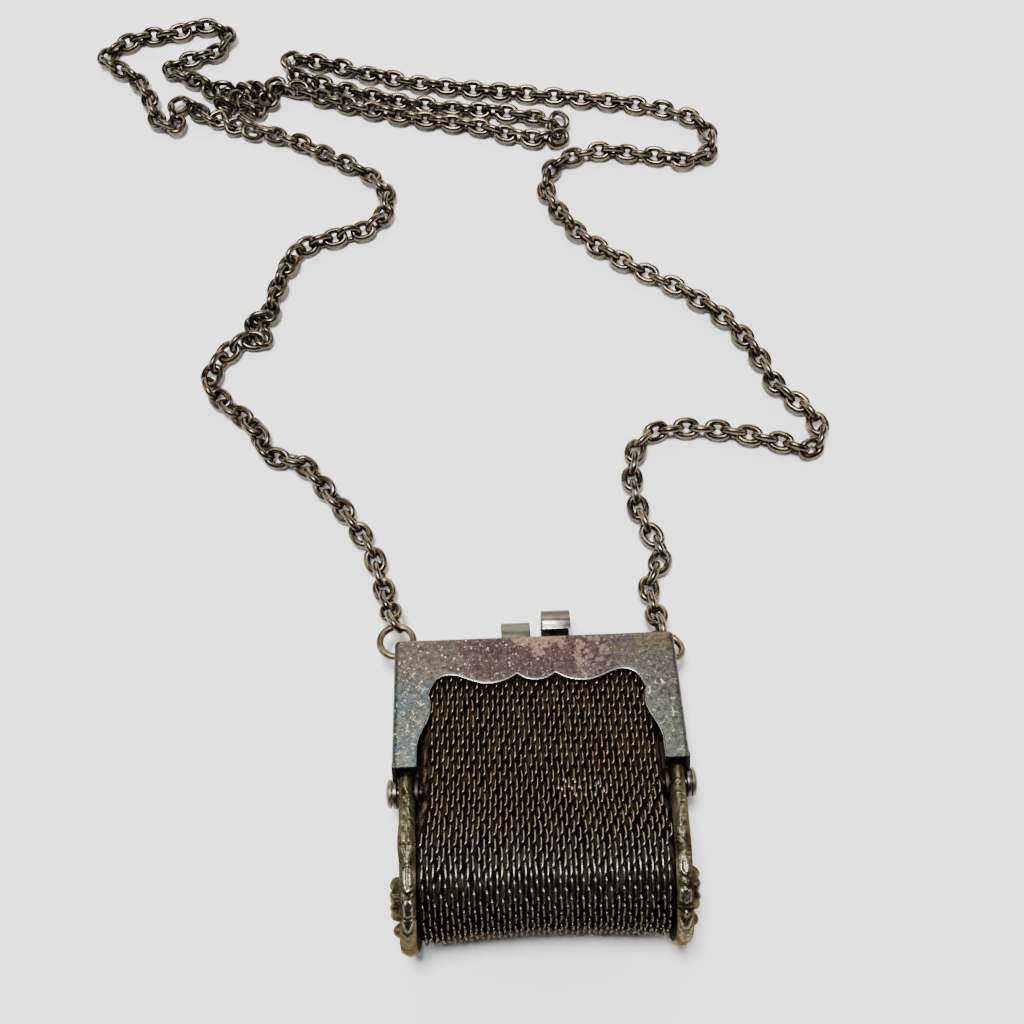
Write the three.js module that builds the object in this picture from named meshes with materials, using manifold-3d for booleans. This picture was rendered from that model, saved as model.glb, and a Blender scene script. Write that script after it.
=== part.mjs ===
// A small mesh coin purse on a long neck chain, lying on its back, in millimetres with +Z up.
// Inside the purse group X runs across the purse, Y from the hinge to the top edge and Z to the front.
import * as THREE from 'three';
import { mergeVertices } from 'three/addons/utils/BufferGeometryUtils.js';
import Module from 'manifold-3d';

const wasm = await Module();
wasm.setup();

// How the purse lies: the hinge axis height, and how far the top edge dips below the hinge.
const HINGE_HEIGHT = 8.27;
const LYING_TILT = THREE.MathUtils.degToRad(7.7);

// Frame halves: bent sheet, a U open towards the hinge.
const SHEET = 0.7;
const FRAME_HALF_DEPTH = 4.7;
const PARTING_GAP = 0.3;
const FRAME_TOP = 27.0;
const LEG_END = 2.9;
const TOP_HALF_WIDTH = 25.2;
const LEG_HALF_WIDTH = 25.4;
const CORNER_RADIUS = 0.9;
const LEG_INNER = 21.2;
const SHOULDER = [21.1, 6.5];

// Scalloped inner edge from the shoulder of one leg to the middle of the top band.
const SCALLOP = [
  { end: [18.75, 13.6], leave: [20.9, 9.4], arrive: [18.9, 10.6] },
  { end: [19.15, 16.0], leave: [18.6, 14.6], arrive: [18.8, 15.4] },
  { end: [15.3, 19.65], leave: [18.4, 18.5], arrive: [17.2, 19.65] },
  { end: [8.6, 17.75], leave: [13.2, 19.65], arrive: [11.2, 17.75] },
  { end: [3.4, 19.45], leave: [6.6, 17.75], arrive: [4.8, 18.35] },
  { end: [0, 18.15], leave: [2.4, 18.55], arrive: [1.2, 18.15] },
];
const SCALLOP_SEGMENTS = 5;

// Hinge: each rivet joins a front lug, a side plate and a back lug, from the outside in, with gaps between.
const GAP = 0.3;
const PLATE_PLAY = 0.5;
const LUG_RADIUS = 2.6;
const LUG_EDGE = 0.75;
const LUG_ARC = { from: Math.PI * 0.36, to: Math.PI * 2 };
const LUG_OVERLAP = 0.8;
const BACK_STRIP = 5;
const SPACER = { length: 3, depth: 3.2, y: 6.2, z: 2.65 };
const RIVET_RADIUS = 0.95;
const RIVET_HOLE_RADIUS = RIVET_RADIUS + GAP;
const RIVET_HEAD = [[2.45, 0], [2.45, 0.4], [1.85, 0.77], [0, 0.9]];
const RIVET_TAIL = [[0, -0.6], [1.2, -0.6], [1.5, -0.3], [1.5, 0]];
const RIVET_PAD_RADIUS = 2.45;
const ROUND_SEGMENTS = 20;
const DRILL_REACH = 2;

// Side plates: a pear outline with a raised rim, a rosette, a leaf and a bead on the outer face.
const PLATE_THICKNESS = 2.2;
const PLATE_TOE_IN = { left: THREE.MathUtils.degToRad(1), right: THREE.MathUtils.degToRad(3.5) };
const PLATE_NECK_RADIUS = 3.3;
const PLATE_NECK_Y = 1.0;
const PLATE_BELLY_RADIUS = 10.1;
const PLATE_BELLY_Y = -16.2;
const PEAR_EASE = { neck: 0.3, belly: 0.42, swell: 0.6 };
const PLATE_POCKET = 0.7;
const RELIEF_ROOT = 0.3;
const PLATE_RIM = 1.9;
const RIM_LEAVES = 20;
const RIM_BARE = 6;
const RIM_LEAF_SIZE = { across: 0.95, along: 1.15, proud: 0.32 };
const ROSETTE_Y = -18.6;
const ROSETTE = {
  petals: 8, ring: 2.5, petalLength: 1.35, petalWidth: 1.0, petalLift: 0.8,
  core: 1.5, base: 3.1, height: 1.3, proud: 3.1,
};
const PLATE_BEAD = { y: -23.6, radius: 1.35 };
const PLATE_LEAF = { y: -9.2, halfLength: 4.0, halfWidth: 1.9, proud: 1.3 };
const BOLD_BUMP = [10, 6];

// Mesh bag: a wall round the front, bottom and back, open at the mouth.
const MESH_WALL = 1.0;
const MESH_MOUTH_Y = 25.2;
const MESH_MOUTH_HALF = 3.6;
const MESH_BELLY_RADIUS = 8.5;
const MESH_BELLY_Y = -15.8;
const MESH_HALF_WIDTH = 19.6;
const MESH_WIDEN = { by: 1.8, from: 3, to: 13 };
const MESH_FLARE = { start: 4.1, ease: -3, settle: 7 };
const MESH_SAG = 1.1;
const MESH_SAG_START = 2;
const MESH_SPANS = 8;
const MESH_SEGMENTS = 7;

// Clasp tabs: rolled strips, as a path in Y and Z of the half that carries them.
const TAB_WIDTH = 5.3;
const SHORT_TAB = {
  x: -3.3,
  path: [[26.5, 3.2], [28.6, 3.3], [30.1, 2.7], [30.7, 1.4], [30.1, 0.3]],
};
const TALL_TAB = {
  x: -4.1,
  path: [
    [26.5, 3.6], [28.5, 3.2], [30.7, 2], [32.4, 0.1], [32.8, -1.7], [32, -3.4], [30.2, -4.1], [28.6, -3.6],
  ],
};
const TAB_SEGMENTS = 14;

// Jump rings through one hole in the top flange and one in the side flange of each corner.
const RING_RADIUS = 3.2;
const RING_WIRE = 0.5;
const RING_SIDES = 6;
const RING_HOLE_RADIUS = 1.05;
const RING_LIFT = 2.4;
const RING_FIT = {
  left: { topHoleX: 22, sideHoleY: 24.6, turn: 0 },
  right: { topHoleX: 21.25, sideHoleY: 22.35, turn: THREE.MathUtils.degToRad(28) },
};

// Neck chain: the tube that the links fill, and its route over the table from each ring.
const CHAIN_RADIUS = 1.85;
const CHAIN_SIDES = 8;
const LEFT_ROUTE = [
  [-25.9, 32.7, 5.8], [-26.5, 35.6, 3.8], [-27.7, 39.8, 2], [-30, 47.4], [-34.2, 54.8], [-39.5, 62],
  [-44.8, 68.3], [-50.9, 70.3], [-54.2, 76.7], [-60.3, 82.3], [-63.9, 87.3], [-61.2, 94.2], [-56, 98.5],
  [-52.5, 105.2], [-50.7, 112.4], [-46.7, 120.6], [-39.1, 123.8], [-31, 126.5], [-27.5, 132.8],
  [-29.8, 139.4], [-38.5, 145.6], [-47.8, 151.6], [-62.9, 157.9], [-70, 160.6], [-74.6, 164.5],
  [-77.6, 162], [-76.6, 157.2], [-80.4, 158.6], [-83.2, 165.5], [-87.6, 172.9], [-95, 178.7],
  [-89, 184.9], [-80.2, 186.6], [-69.8, 188.8], [-66.2, 184.8], [-69.2, 180.2], [-79.6, 176.3],
  [-73.1, 171.4], [-66.4, 167], [-61.4, 163.9], [-57.2, 166], [-51, 168], [-45.6, 165.9],
  [-40.2, 163.75],
];
const RIGHT_ROUTE = [
  [23.2, 30.8, 4.6], [22.8, 34.6, 2.6], [22.5, 38.8], [24, 42.3], [25.9, 45.6], [22.9, 51.6],
  [21.4, 58.5], [21.5, 64.5], [23.6, 70.1], [28.2, 72.7], [38.6, 72.5], [51, 69.4], [57.5, 67.2],
  [60.1, 70.6], [58.3, 76.1], [53.4, 81.1], [49.8, 89.8], [44.7, 98.5], [35.4, 107.1], [24.7, 114.2],
  [16.9, 120.4], [11.1, 127.9], [8, 135.6], [9.9, 141.6], [17.9, 146], [30, 144.9], [40.8, 142.7],
  [45.8, 145.2], [46.3, 149.9], [42.6, 155.4], [33.6, 159], [15.3, 162.5], [-5.1, 165.5],
  [-25.5, 169.8], [-44.6, 176], [-50.6, 177], [-50.6, 173], [-37.6, 167.2], [-25.5, 163.1],
  [-12.2, 160.4], [4.2, 157.6], [10.4, 156], [12.2, 152.4], [8.6, 150.2], [2.6, 151], [-6.5, 154.5],
  [-22.2, 157.9], [-34.4, 161.5], [-39.85, 163.6],
];

const FRAME_METAL = { color: 0x8d8581, roughness: 0.45, metalness: 0.9 };
const CAST_METAL = { color: 0x6f695c, roughness: 0.4, metalness: 0.9 };
const MESH_METAL = { color: 0x4a4036, roughness: 0.45, metalness: 0.9 };
const CHAIN_METAL = { color: 0x6b655b, roughness: 0.35, metalness: 0.95 };
const RING_METAL = { color: 0x84745c, roughness: 0.4, metalness: 0.95 };

const SIDES = [['left', -1], ['right', 1]];
const MERGE_DISTANCE = 1e-4;

// Turns a closed three.js geometry into a solid for joins and cuts, dropping triangles of no area.
function solid(geometry) {
  const bare = new THREE.BufferGeometry();
  bare.setAttribute('position', geometry.getAttribute('position'));
  bare.setIndex(geometry.getIndex());
  const merged = mergeVertices(bare, MERGE_DISTANCE);
  const corners = merged.getIndex().array;
  const kept = [];
  for (let i = 0; i < corners.length; i += 3) {
    const [a, b, c] = [corners[i], corners[i + 1], corners[i + 2]];
    if (a !== b && b !== c && c !== a) kept.push(a, b, c);
  }
  const vertProperties = new Float32Array(merged.getAttribute('position').array);
  return new wasm.Manifold(new wasm.Mesh({ numProp: 3, vertProperties, triVerts: new Uint32Array(kept) }));
}

function geometryOf(body) {
  const { vertProperties, triVerts } = body.getMesh();
  const geometry = new THREE.BufferGeometry();
  geometry.setAttribute('position', new THREE.BufferAttribute(vertProperties, 3));
  geometry.setIndex(new THREE.BufferAttribute(triVerts, 1));
  geometry.computeVertexNormals();
  return geometry;
}

function pieceOf(name, body, look) {
  const mesh = new THREE.Mesh(geometryOf(body), new THREE.MeshStandardMaterial(look));
  mesh.name = name;
  return mesh;
}

function extruded(shape, depth, z, curveSegments = 1) {
  const geometry = new THREE.ExtrudeGeometry(shape, { depth, bevelEnabled: false, curveSegments });
  return geometry.translate(0, 0, z);
}

// A round bar from a to b along X, centred on y and z.
function barAlongX(a, b, radius, y = 0, z = 0) {
  const bar = new THREE.CylinderGeometry(radius, radius, Math.abs(b - a), ROUND_SEGMENTS);
  return solid(bar.rotateZ(Math.PI / 2).translate((a + b) / 2, y, z));
}

// Extrudes a shape drawn in Y (its x) and Z (its y) from X = a to X = b.
function slabAlongX(shape, a, b, curveSegments = 4) {
  const slab = new THREE.ExtrudeGeometry(shape, { depth: b - a, bevelEnabled: false, curveSegments });
  const turn = new THREE.Matrix4().makeBasis(
    new THREE.Vector3(0, 1, 0), new THREE.Vector3(0, 0, 1), new THREE.Vector3(1, 0, 0));
  return solid(slab.applyMatrix4(turn).translate(a, 0, 0));
}

// The outer U of a frame half at a distance inside its outer edge, down one side and up the other.
function outerEdge(shape, inset) {
  const top = TOP_HALF_WIDTH - inset;
  const leg = LEG_HALF_WIDTH - inset;
  const y = FRAME_TOP - inset;
  const r = CORNER_RADIUS - inset;
  shape.lineTo(leg, LEG_END);
  shape.lineTo(top, y - r);
  shape.quadraticCurveTo(top, y, top - r, y);
  shape.lineTo(-top + r, y);
  shape.quadraticCurveTo(-top, y, -top, y - r);
  shape.lineTo(-leg, LEG_END);
}

// The face sheet: outer U, then the scalloped edge from the left leg over the middle to the right leg.
function faceShape() {
  const shape = new THREE.Shape();
  shape.moveTo(LEG_INNER, LEG_END);
  outerEdge(shape, 0);
  shape.lineTo(-LEG_INNER, LEG_END);
  shape.lineTo(-SHOULDER[0], SHOULDER[1]);
  for (const { end, leave, arrive } of SCALLOP) {
    shape.bezierCurveTo(-leave[0], leave[1], -arrive[0], arrive[1], -end[0], end[1]);
  }
  for (let i = SCALLOP.length - 1; i >= 0; i -= 1) {
    const { leave, arrive } = SCALLOP[i];
    const end = i > 0 ? SCALLOP[i - 1].end : SHOULDER;
    shape.bezierCurveTo(arrive[0], arrive[1], leave[0], leave[1], end[0], end[1]);
  }
  return shape;
}

// The flange: a strip one sheet thick under the outer edge of the face.
function flangeShape() {
  const shape = new THREE.Shape();
  shape.moveTo(LEG_HALF_WIDTH - SHEET, LEG_END);
  outerEdge(shape, 0);
  const inner = new THREE.Shape();
  inner.moveTo(LEG_HALF_WIDTH - SHEET, LEG_END);
  outerEdge(inner, SHEET);
  for (const point of inner.getPoints(1).reverse()) shape.lineTo(point.x, point.y);
  return shape;
}

// A hinge lug in Y and Z: a round eye on the axis, drawn out to the foot of its leg.
function lugShape(legTop) {
  const shape = new THREE.Shape();
  shape.moveTo(legTop, LUG_EDGE);
  shape.lineTo(legTop, FRAME_HALF_DEPTH);
  shape.lineTo(LEG_END, FRAME_HALF_DEPTH);
  shape.absarc(0, 0, LUG_RADIUS, LUG_ARC.from, LUG_ARC.to, false);
  return shape;
}

// A rolled strip of one sheet thickness that follows a path in Y and Z.
function tabBody({ x, path }) {
  const curve = new THREE.SplineCurve(path.map(([y, z]) => new THREE.Vector2(y, z)));
  const left = [];
  const right = [];
  for (let i = 0; i <= TAB_SEGMENTS; i += 1) {
    const point = curve.getPoint(i / TAB_SEGMENTS);
    const along = curve.getTangent(i / TAB_SEGMENTS);
    const side = new THREE.Vector2(-along.y, along.x).multiplyScalar(SHEET / 2);
    left.push(point.clone().add(side));
    right.unshift(point.clone().sub(side));
  }
  return slabAlongX(new THREE.Shape([...left, ...right]), x - TAB_WIDTH / 2, x + TAB_WIDTH / 2);
}

// One frame half with its face to +Z and a lug on each leg. Lugs set inside the legs stand on spacers.
function frameHalf({ lugOuter, tab, drilled }) {
  const face = extruded(faceShape(), SHEET, FRAME_HALF_DEPTH - SHEET, SCALLOP_SEGMENTS);
  const flangeDepth = FRAME_HALF_DEPTH - PARTING_GAP / 2;
  let body = solid(face).add(solid(extruded(flangeShape(), flangeDepth, PARTING_GAP / 2, 3)));
  body = body.add(tabBody(tab));
  const inset = lugOuter < LEG_HALF_WIDTH;
  const legTop = LEG_END + (inset ? BACK_STRIP : LUG_OVERLAP);
  for (const [label, side] of SIDES) {
    const lugX = side * lugOuter;
    const legX = side * LEG_HALF_WIDTH;
    const lugFar = lugX - side * SHEET;
    body = body.add(slabAlongX(lugShape(legTop), Math.min(lugX, lugFar), Math.max(lugX, lugFar)));
    if (inset) {
      const reach = LEG_HALF_WIDTH - lugOuter + SHEET / 2;
      const spacer = new THREE.BoxGeometry(reach, SPACER.length, SPACER.depth);
      spacer.translate((lugX + legX - side * SHEET / 2) / 2, SPACER.y, SPACER.z);
      body = body.add(solid(spacer));
    }
    body = body.subtract(barAlongX(lugX - DRILL_REACH, lugX + DRILL_REACH, RIVET_HOLE_RADIUS));
    if (drilled) {
      const { topHoleX, sideHoleY } = RING_FIT[label];
      body = body.subtract(
        barAlongX(legX - DRILL_REACH, legX + DRILL_REACH, RING_HOLE_RADIUS, sideHoleY, RING_LIFT));
      const drill = new THREE.CylinderGeometry(
        RING_HOLE_RADIUS, RING_HOLE_RADIUS, 2 * DRILL_REACH, ROUND_SEGMENTS);
      body = body.subtract(solid(drill.translate(side * topHoleX, FRAME_TOP, RING_LIFT)));
    }
  }
  return body;
}

// The pear outline of a side plate in Y and Z, at a distance inside its edge.
function pearShape(inset) {
  const neck = PLATE_NECK_RADIUS - inset;
  const belly = PLATE_BELLY_RADIUS - inset;
  const drop = PLATE_NECK_Y - PLATE_BELLY_Y;
  const upper = [PLATE_NECK_Y - drop * PEAR_EASE.neck, neck + PEAR_EASE.swell];
  const lower = [PLATE_BELLY_Y + drop * PEAR_EASE.belly, belly];
  const shape = new THREE.Shape();
  shape.absarc(PLATE_NECK_Y, 0, neck, -Math.PI / 2, Math.PI / 2, false);
  shape.bezierCurveTo(...upper, ...lower, PLATE_BELLY_Y, belly);
  shape.absarc(PLATE_BELLY_Y, 0, belly, Math.PI / 2, Math.PI * 1.5, false);
  shape.bezierCurveTo(lower[0], -lower[1], upper[0], -upper[1], PLATE_NECK_Y, -neck);
  return shape;
}

// A low ellipsoid bump at a point, turned about X.
function bump(size, position, turn = 0, [around, down] = [6, 4]) {
  const ball = new THREE.SphereGeometry(1, around, down);
  ball.rotateZ(Math.PI / 2).scale(...size).rotateX(turn).translate(...position);
  return solid(ball);
}

// Leaves along the edge of the rim, evenly spaced from just below the neck right round the belly.
function rimLeaves(body) {
  const outline = pearShape(0).getSpacedPoints(RIM_LEAVES + RIM_BARE);
  const { across, along, proud } = RIM_LEAF_SIZE;
  const first = RIM_BARE - 1;
  let leafy = body;
  for (let i = first; i < first + RIM_LEAVES - 1; i += 1) {
    const [before, here, after] = [outline[i - 1], outline[i], outline[i + 1]];
    const turn = Math.atan2(after.y - before.y, after.x - before.x);
    const leaf = bump([across, along, proud], [PLATE_THICKNESS / 2, here.x, here.y], turn);
    leafy = leafy.add(leaf);
  }
  return leafy;
}

// The cast rosette: a round base, a ring of petals and a domed core, standing towards +X.
function rosette(floor) {
  const { petals, ring, petalLength, petalWidth, petalLift, core, base, height, proud } = ROSETTE;
  let flower = barAlongX(floor - RELIEF_ROOT, floor + height, base, ROSETTE_Y);
  for (let i = 0; i < petals; i += 1) {
    const angle = (i / petals) * Math.PI * 2;
    const spot = [floor + petalLift, ROSETTE_Y + ring * Math.cos(angle), ring * Math.sin(angle)];
    flower = flower.add(bump([height, petalLength, petalWidth], spot, angle));
  }
  return flower.add(bump([proud - height, core, core], [floor + height, ROSETTE_Y, 0], 0, BOLD_BUMP));
}

// A side plate with its outer face to +X, its inner face on X = 0.
function sidePlate() {
  const floor = PLATE_THICKNESS - PLATE_POCKET;
  let body = slabAlongX(pearShape(0), 0, PLATE_THICKNESS, 6);
  body = body.subtract(slabAlongX(pearShape(PLATE_RIM), floor, PLATE_THICKNESS + DRILL_REACH, 6));
  const pad = barAlongX(floor - RELIEF_ROOT, PLATE_THICKNESS, RIVET_PAD_RADIUS);
  body = rimLeaves(body.add(pad)).add(rosette(floor));
  const { proud, halfLength, halfWidth } = PLATE_LEAF;
  body = body.add(bump([proud, halfLength, halfWidth], [floor, PLATE_LEAF.y, 0], 0, BOLD_BUMP));
  const { y, radius } = PLATE_BEAD;
  body = body.add(bump([radius, radius, radius], [floor + radius / 2, y, 0], 0, BOLD_BUMP));
  return body.subtract(barAlongX(-DRILL_REACH, PLATE_THICKNESS + DRILL_REACH, RIVET_HOLE_RADIUS));
}

// A rivet along X with its domed head outside: shank, head and clenched tail in one turned profile.
function rivet(headFace, tailFace) {
  const profile = [
    ...RIVET_TAIL.map(([r, x]) => new THREE.Vector2(r, tailFace + x)),
    new THREE.Vector2(RIVET_RADIUS, tailFace),
    new THREE.Vector2(RIVET_RADIUS, headFace),
    ...RIVET_HEAD.map(([r, x]) => new THREE.Vector2(r, headFace + x)),
  ];
  return solid(new THREE.LatheGeometry(profile, ROUND_SEGMENTS).rotateZ(-Math.PI / 2));
}

// The profile of the mesh bag in Y and Z at a distance inside its outer surface.
function bagPath(inset) {
  const mouth = MESH_MOUTH_HALF - inset;
  const belly = MESH_BELLY_RADIUS - inset;
  const { start, ease, settle } = MESH_FLARE;
  const shape = new THREE.Shape();
  shape.moveTo(MESH_MOUTH_Y, mouth);
  shape.lineTo(start, mouth);
  shape.bezierCurveTo(ease, mouth, MESH_BELLY_Y + settle, belly, MESH_BELLY_Y, belly);
  shape.absarc(MESH_BELLY_Y, 0, belly, Math.PI / 2, Math.PI * 1.5, false);
  shape.bezierCurveTo(MESH_BELLY_Y + settle, -belly, ease, -mouth, start, -mouth);
  shape.lineTo(MESH_MOUTH_Y, -mouth);
  return shape;
}

// The bag between the side plates. It narrows with them, and between them its round bottom is drawn in.
function meshBag(plateInner) {
  const outside = bagPath(0).getPoints(MESH_SEGMENTS);
  const inside = bagPath(MESH_WALL).getPoints(MESH_SEGMENTS).reverse();
  const wall = new THREE.Shape([...outside, ...inside]);
  const bag = new THREE.ExtrudeGeometry(wall, { depth: 2, steps: MESH_SPANS, bevelEnabled: false });
  const place = bag.getAttribute('position');
  for (let i = 0; i < place.count; i += 1) {
    const [y, z, span] = [place.getX(i), place.getY(i), place.getZ(i) - 1];
    const toeIn = span < 0 ? PLATE_TOE_IN.left : PLATE_TOE_IN.right;
    const widened = MESH_WIDEN.by * THREE.MathUtils.smoothstep(-y, MESH_WIDEN.from, MESH_WIDEN.to);
    const half = Math.min(MESH_HALF_WIDTH + widened, plateInner + y * Math.tan(toeIn) - GAP);
    const drawnIn = THREE.MathUtils.smoothstep(-y, MESH_SAG_START, -MESH_BELLY_Y) * (1 - span * span);
    const keep = 1 - (drawnIn * MESH_SAG) / MESH_BELLY_RADIUS;
    const below = Math.min(y - MESH_BELLY_Y, 0);
    place.setXYZ(i, span * half, y + below * (keep - 1), z * keep);
  }
  return solid(bag);
}

// A ring whose circle passes through both corner holes, turned about the line between them.
function jumpRing(side, { topHoleX, sideHoleY, turn }) {
  const topHole = new THREE.Vector3(side * topHoleX, FRAME_TOP - SHEET / 2, RING_LIFT);
  const sideHole = new THREE.Vector3(side * (LEG_HALF_WIDTH - SHEET / 2), sideHoleY, RING_LIFT);
  const chord = topHole.clone().sub(sideHole);
  const middle = topHole.clone().add(sideHole).multiplyScalar(0.5);
  const outward = new THREE.Vector3(side * chord.y, Math.abs(chord.x), 0).normalize();
  const offset = Math.sqrt(RING_RADIUS ** 2 - chord.lengthSq() / 4);
  const torus = new THREE.TorusGeometry(RING_RADIUS, RING_WIRE, RING_SIDES, ROUND_SEGMENTS);
  torus.translate(...outward.multiplyScalar(offset).toArray());
  torus.applyMatrix4(new THREE.Matrix4().makeRotationAxis(chord.normalize(), turn));
  return solid(torus.translate(...middle.toArray()));
}

// A smooth curve with one tube section at every point of its list.
class Route extends THREE.CatmullRomCurve3 {
  getUtoTmapping(u) {
    return u;
  }
}

function chainTube(route) {
  const points = route.map(([x, y, z = CHAIN_RADIUS]) => new THREE.Vector3(x, y, z));
  const section = new THREE.Shape();
  for (let i = 0; i < CHAIN_SIDES; i += 1) {
    const angle = ((i + 0.5) / CHAIN_SIDES) * Math.PI * 2;
    const corner = [CHAIN_RADIUS * Math.cos(angle), CHAIN_RADIUS * Math.sin(angle)];
    if (i === 0) section.moveTo(...corner);
    else section.lineTo(...corner);
  }
  const extrudePath = new Route(points);
  return solid(new THREE.ExtrudeGeometry(section, { steps: points.length - 1, extrudePath }));
}

function buildPurse() {
  const purse = new THREE.Group();
  const frontLug = LEG_HALF_WIDTH;
  const plateInner = frontLug - SHEET - PLATE_PLAY - PLATE_THICKNESS;
  const backLug = plateInner - GAP;

  const front = frameHalf({ lugOuter: frontLug, tab: SHORT_TAB, drilled: true });
  purse.add(pieceOf('front_frame', front, FRAME_METAL));
  const back = frameHalf({ lugOuter: backLug, tab: TALL_TAB, drilled: false });
  const backPiece = pieceOf('back_frame', back, FRAME_METAL);
  backPiece.rotation.y = Math.PI;
  purse.add(backPiece);

  for (const [label, side] of SIDES) {
    const plate = pieceOf(`side_plate_${label}`, sidePlate(), CAST_METAL);
    const pin = pieceOf(`rivet_${label}`, rivet(frontLug + GAP, backLug - SHEET - GAP), CAST_METAL);
    const toeIn = new THREE.Group();
    toeIn.add(plate);
    plate.position.x = plateInner;
    plate.rotation.z = -PLATE_TOE_IN[label];
    if (side < 0) {
      toeIn.rotation.y = Math.PI;
      pin.rotation.y = Math.PI;
    }
    purse.add(toeIn, pin);
    purse.add(pieceOf(`ring_${label}`, jumpRing(side, RING_FIT[label]), RING_METAL));
  }
  purse.add(pieceOf('mesh_body', meshBag(plateInner), MESH_METAL));
  purse.rotation.x = -LYING_TILT;
  purse.position.z = HINGE_HEIGHT;
  return purse;
}

function buildNecklace() {
  const necklace = new THREE.Group();
  necklace.add(buildPurse());
  necklace.add(pieceOf('chain_left', chainTube(LEFT_ROUTE), CHAIN_METAL));
  necklace.add(pieceOf('chain_right', chainTube(RIGHT_ROUTE), CHAIN_METAL));
  const box = new THREE.Box3().setFromObject(necklace, true);
  const centre = box.getCenter(new THREE.Vector3());
  necklace.position.set(-centre.x, -centre.y, -box.min.z);
  return necklace;
}

export default buildNecklace();
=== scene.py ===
from math import cos, pi, radians, sin, sqrt, tan
from types import SimpleNamespace as Spec

import bpy
import numpy as np
from mathutils import Matrix, Vector


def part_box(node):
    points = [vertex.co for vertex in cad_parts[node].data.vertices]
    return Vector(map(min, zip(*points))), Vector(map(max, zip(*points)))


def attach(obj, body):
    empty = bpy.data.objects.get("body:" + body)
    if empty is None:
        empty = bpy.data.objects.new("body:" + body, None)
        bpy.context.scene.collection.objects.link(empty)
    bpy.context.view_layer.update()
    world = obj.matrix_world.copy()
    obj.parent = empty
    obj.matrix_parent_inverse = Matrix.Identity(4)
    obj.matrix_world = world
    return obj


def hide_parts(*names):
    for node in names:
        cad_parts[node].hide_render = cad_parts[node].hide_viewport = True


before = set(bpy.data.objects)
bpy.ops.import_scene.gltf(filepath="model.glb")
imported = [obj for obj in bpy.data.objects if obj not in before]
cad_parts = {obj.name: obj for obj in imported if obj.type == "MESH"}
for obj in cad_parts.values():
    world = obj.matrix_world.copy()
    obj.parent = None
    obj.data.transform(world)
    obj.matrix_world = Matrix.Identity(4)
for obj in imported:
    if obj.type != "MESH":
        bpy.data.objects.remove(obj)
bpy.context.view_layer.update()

# Lengths are millimetres. The purse's axes are X across, Y from hinge to top edge and Z to the front.
MM = 0.001
BODY = "root"
WEAR_AND_HIGHLIGHT = "wear_and_highlight"
LYING_TILT = radians(7.7)
RNG = np.random.default_rng(7)
TINY = 1e-6
CREASE = radians(40)
NO_CREASE = pi
# Mirrors for points in a plane, a half turn about Y, the way up from the table, and the sides' signs.
FLIP_FIRST = np.array([-1.0, 1.0])
FLIP_SECOND = np.array([1.0, -1.0])
HALF_TURN = np.array([-1.0, 1.0, -1.0])
UP = np.array([0.0, 0.0, 1.0])
SIDES = {"left": -1, "right": 1}

# Frame halves.
SHEET = 0.7
FRAME_DEPTH = 4.7
FRAME_EDGE = 0.15
FRAME_TOP = 27
LEG_END = 2.9
TOP_HALF = 25.2
LEG_HALF = 25.4
CORNER = 0.9
BEND = 0.85
INNER_BEND = 0.2
EDGE_BREAK = 0.1
EDGE_ROUND = 0.22
BEAD_RADIUS = 0.2
BEAD_INSET = 0.12
BEAD_SIDES = 10
LEG_INNER = 21.2
SHOULDER = (21.1, 6.5)
SHOULDER_STEPS = 6
# The inner edge's curves on one side, from the shoulder to the middle.
SCALLOP = [
    Spec(end=(18.75, 13.6), leave=(20.9, 9.4), arrive=(18.9, 10.6), steps=18),
    Spec(end=(19.15, 16), leave=(18.6, 14.6), arrive=(18.8, 15.4), steps=8),
    Spec(end=(15.3, 19.65), leave=(18.4, 18.5), arrive=(17.2, 19.65), steps=18),
    Spec(end=(8.6, 17.75), leave=(13.2, 19.65), arrive=(11.2, 17.75), steps=16),
    Spec(end=(3.4, 19.45), leave=(6.6, 17.75), arrive=(4.8, 18.35), steps=14),
    Spec(end=(0, 18.15), leave=(2.4, 18.55), arrive=(1.2, 18.15), steps=10),
]
CORNER_STEPS = 6
FACE_STEPS = 8
ARC_STEPS = 5

# Tarnish of the frame: dark and light of each tone, and where the tones lie across and up the purse.
TARNISH = {
    "blue": ((0.043, 0.057, 0.062), (0.082, 0.103, 0.106)),
    "grey": ((0.05, 0.056, 0.046), (0.1, 0.106, 0.086)),
    "dun": ((0.054, 0.047, 0.037), (0.104, 0.089, 0.071)),
    "purple": ((0.036, 0.0235, 0.025), (0.074, 0.05, 0.047)),
    "slate": ((0.047, 0.044, 0.043), (0.1, 0.094, 0.088)),
    "olive": ((0.05, 0.041, 0.028), (0.11, 0.092, 0.068)),
    "bare": ((0.13, 0.085, 0.062), (0.2, 0.142, 0.11)),
}
TARNISH_ZONES = [
    Spec(tone="dun", up=(16, 21), across=None),
    Spec(tone="purple", up=(14, 19), across=(-19, -8)),
    Spec(tone="slate", up=(14, 18), across=(11, 16)),
    Spec(tone="olive", up=(21, 25), across=(13, 17)),
]
ZONE_STRAY = Spec(across=7, up=3)
# A painted dark green reflection down the outer edge and flange of the left leg: where, how much, and its
# tone.
FLANK_PAINTED_REFLECTION = Spec(x=(-24.2, -25.2), share=0.6, tone=(0.037, 0.043, 0.034))
FRAME_STAIN = (0.028, 0.024, 0.021)
FRAME_PITS = 0.04
# Flecks: how dense each size of them is, and how wide their clouds.
FLECKS = [(1.15, 0.5), (2.3, 0.8)]
FLECK_TONE = (0.6, 0.53, 0.36)
FLECK_FADE = Spec(x=(14, -14), share=(0.35, 1))
CRACK_TONE = (0.6, 0.55, 0.41)
CRACK_FADE = (21, 17)
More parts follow.
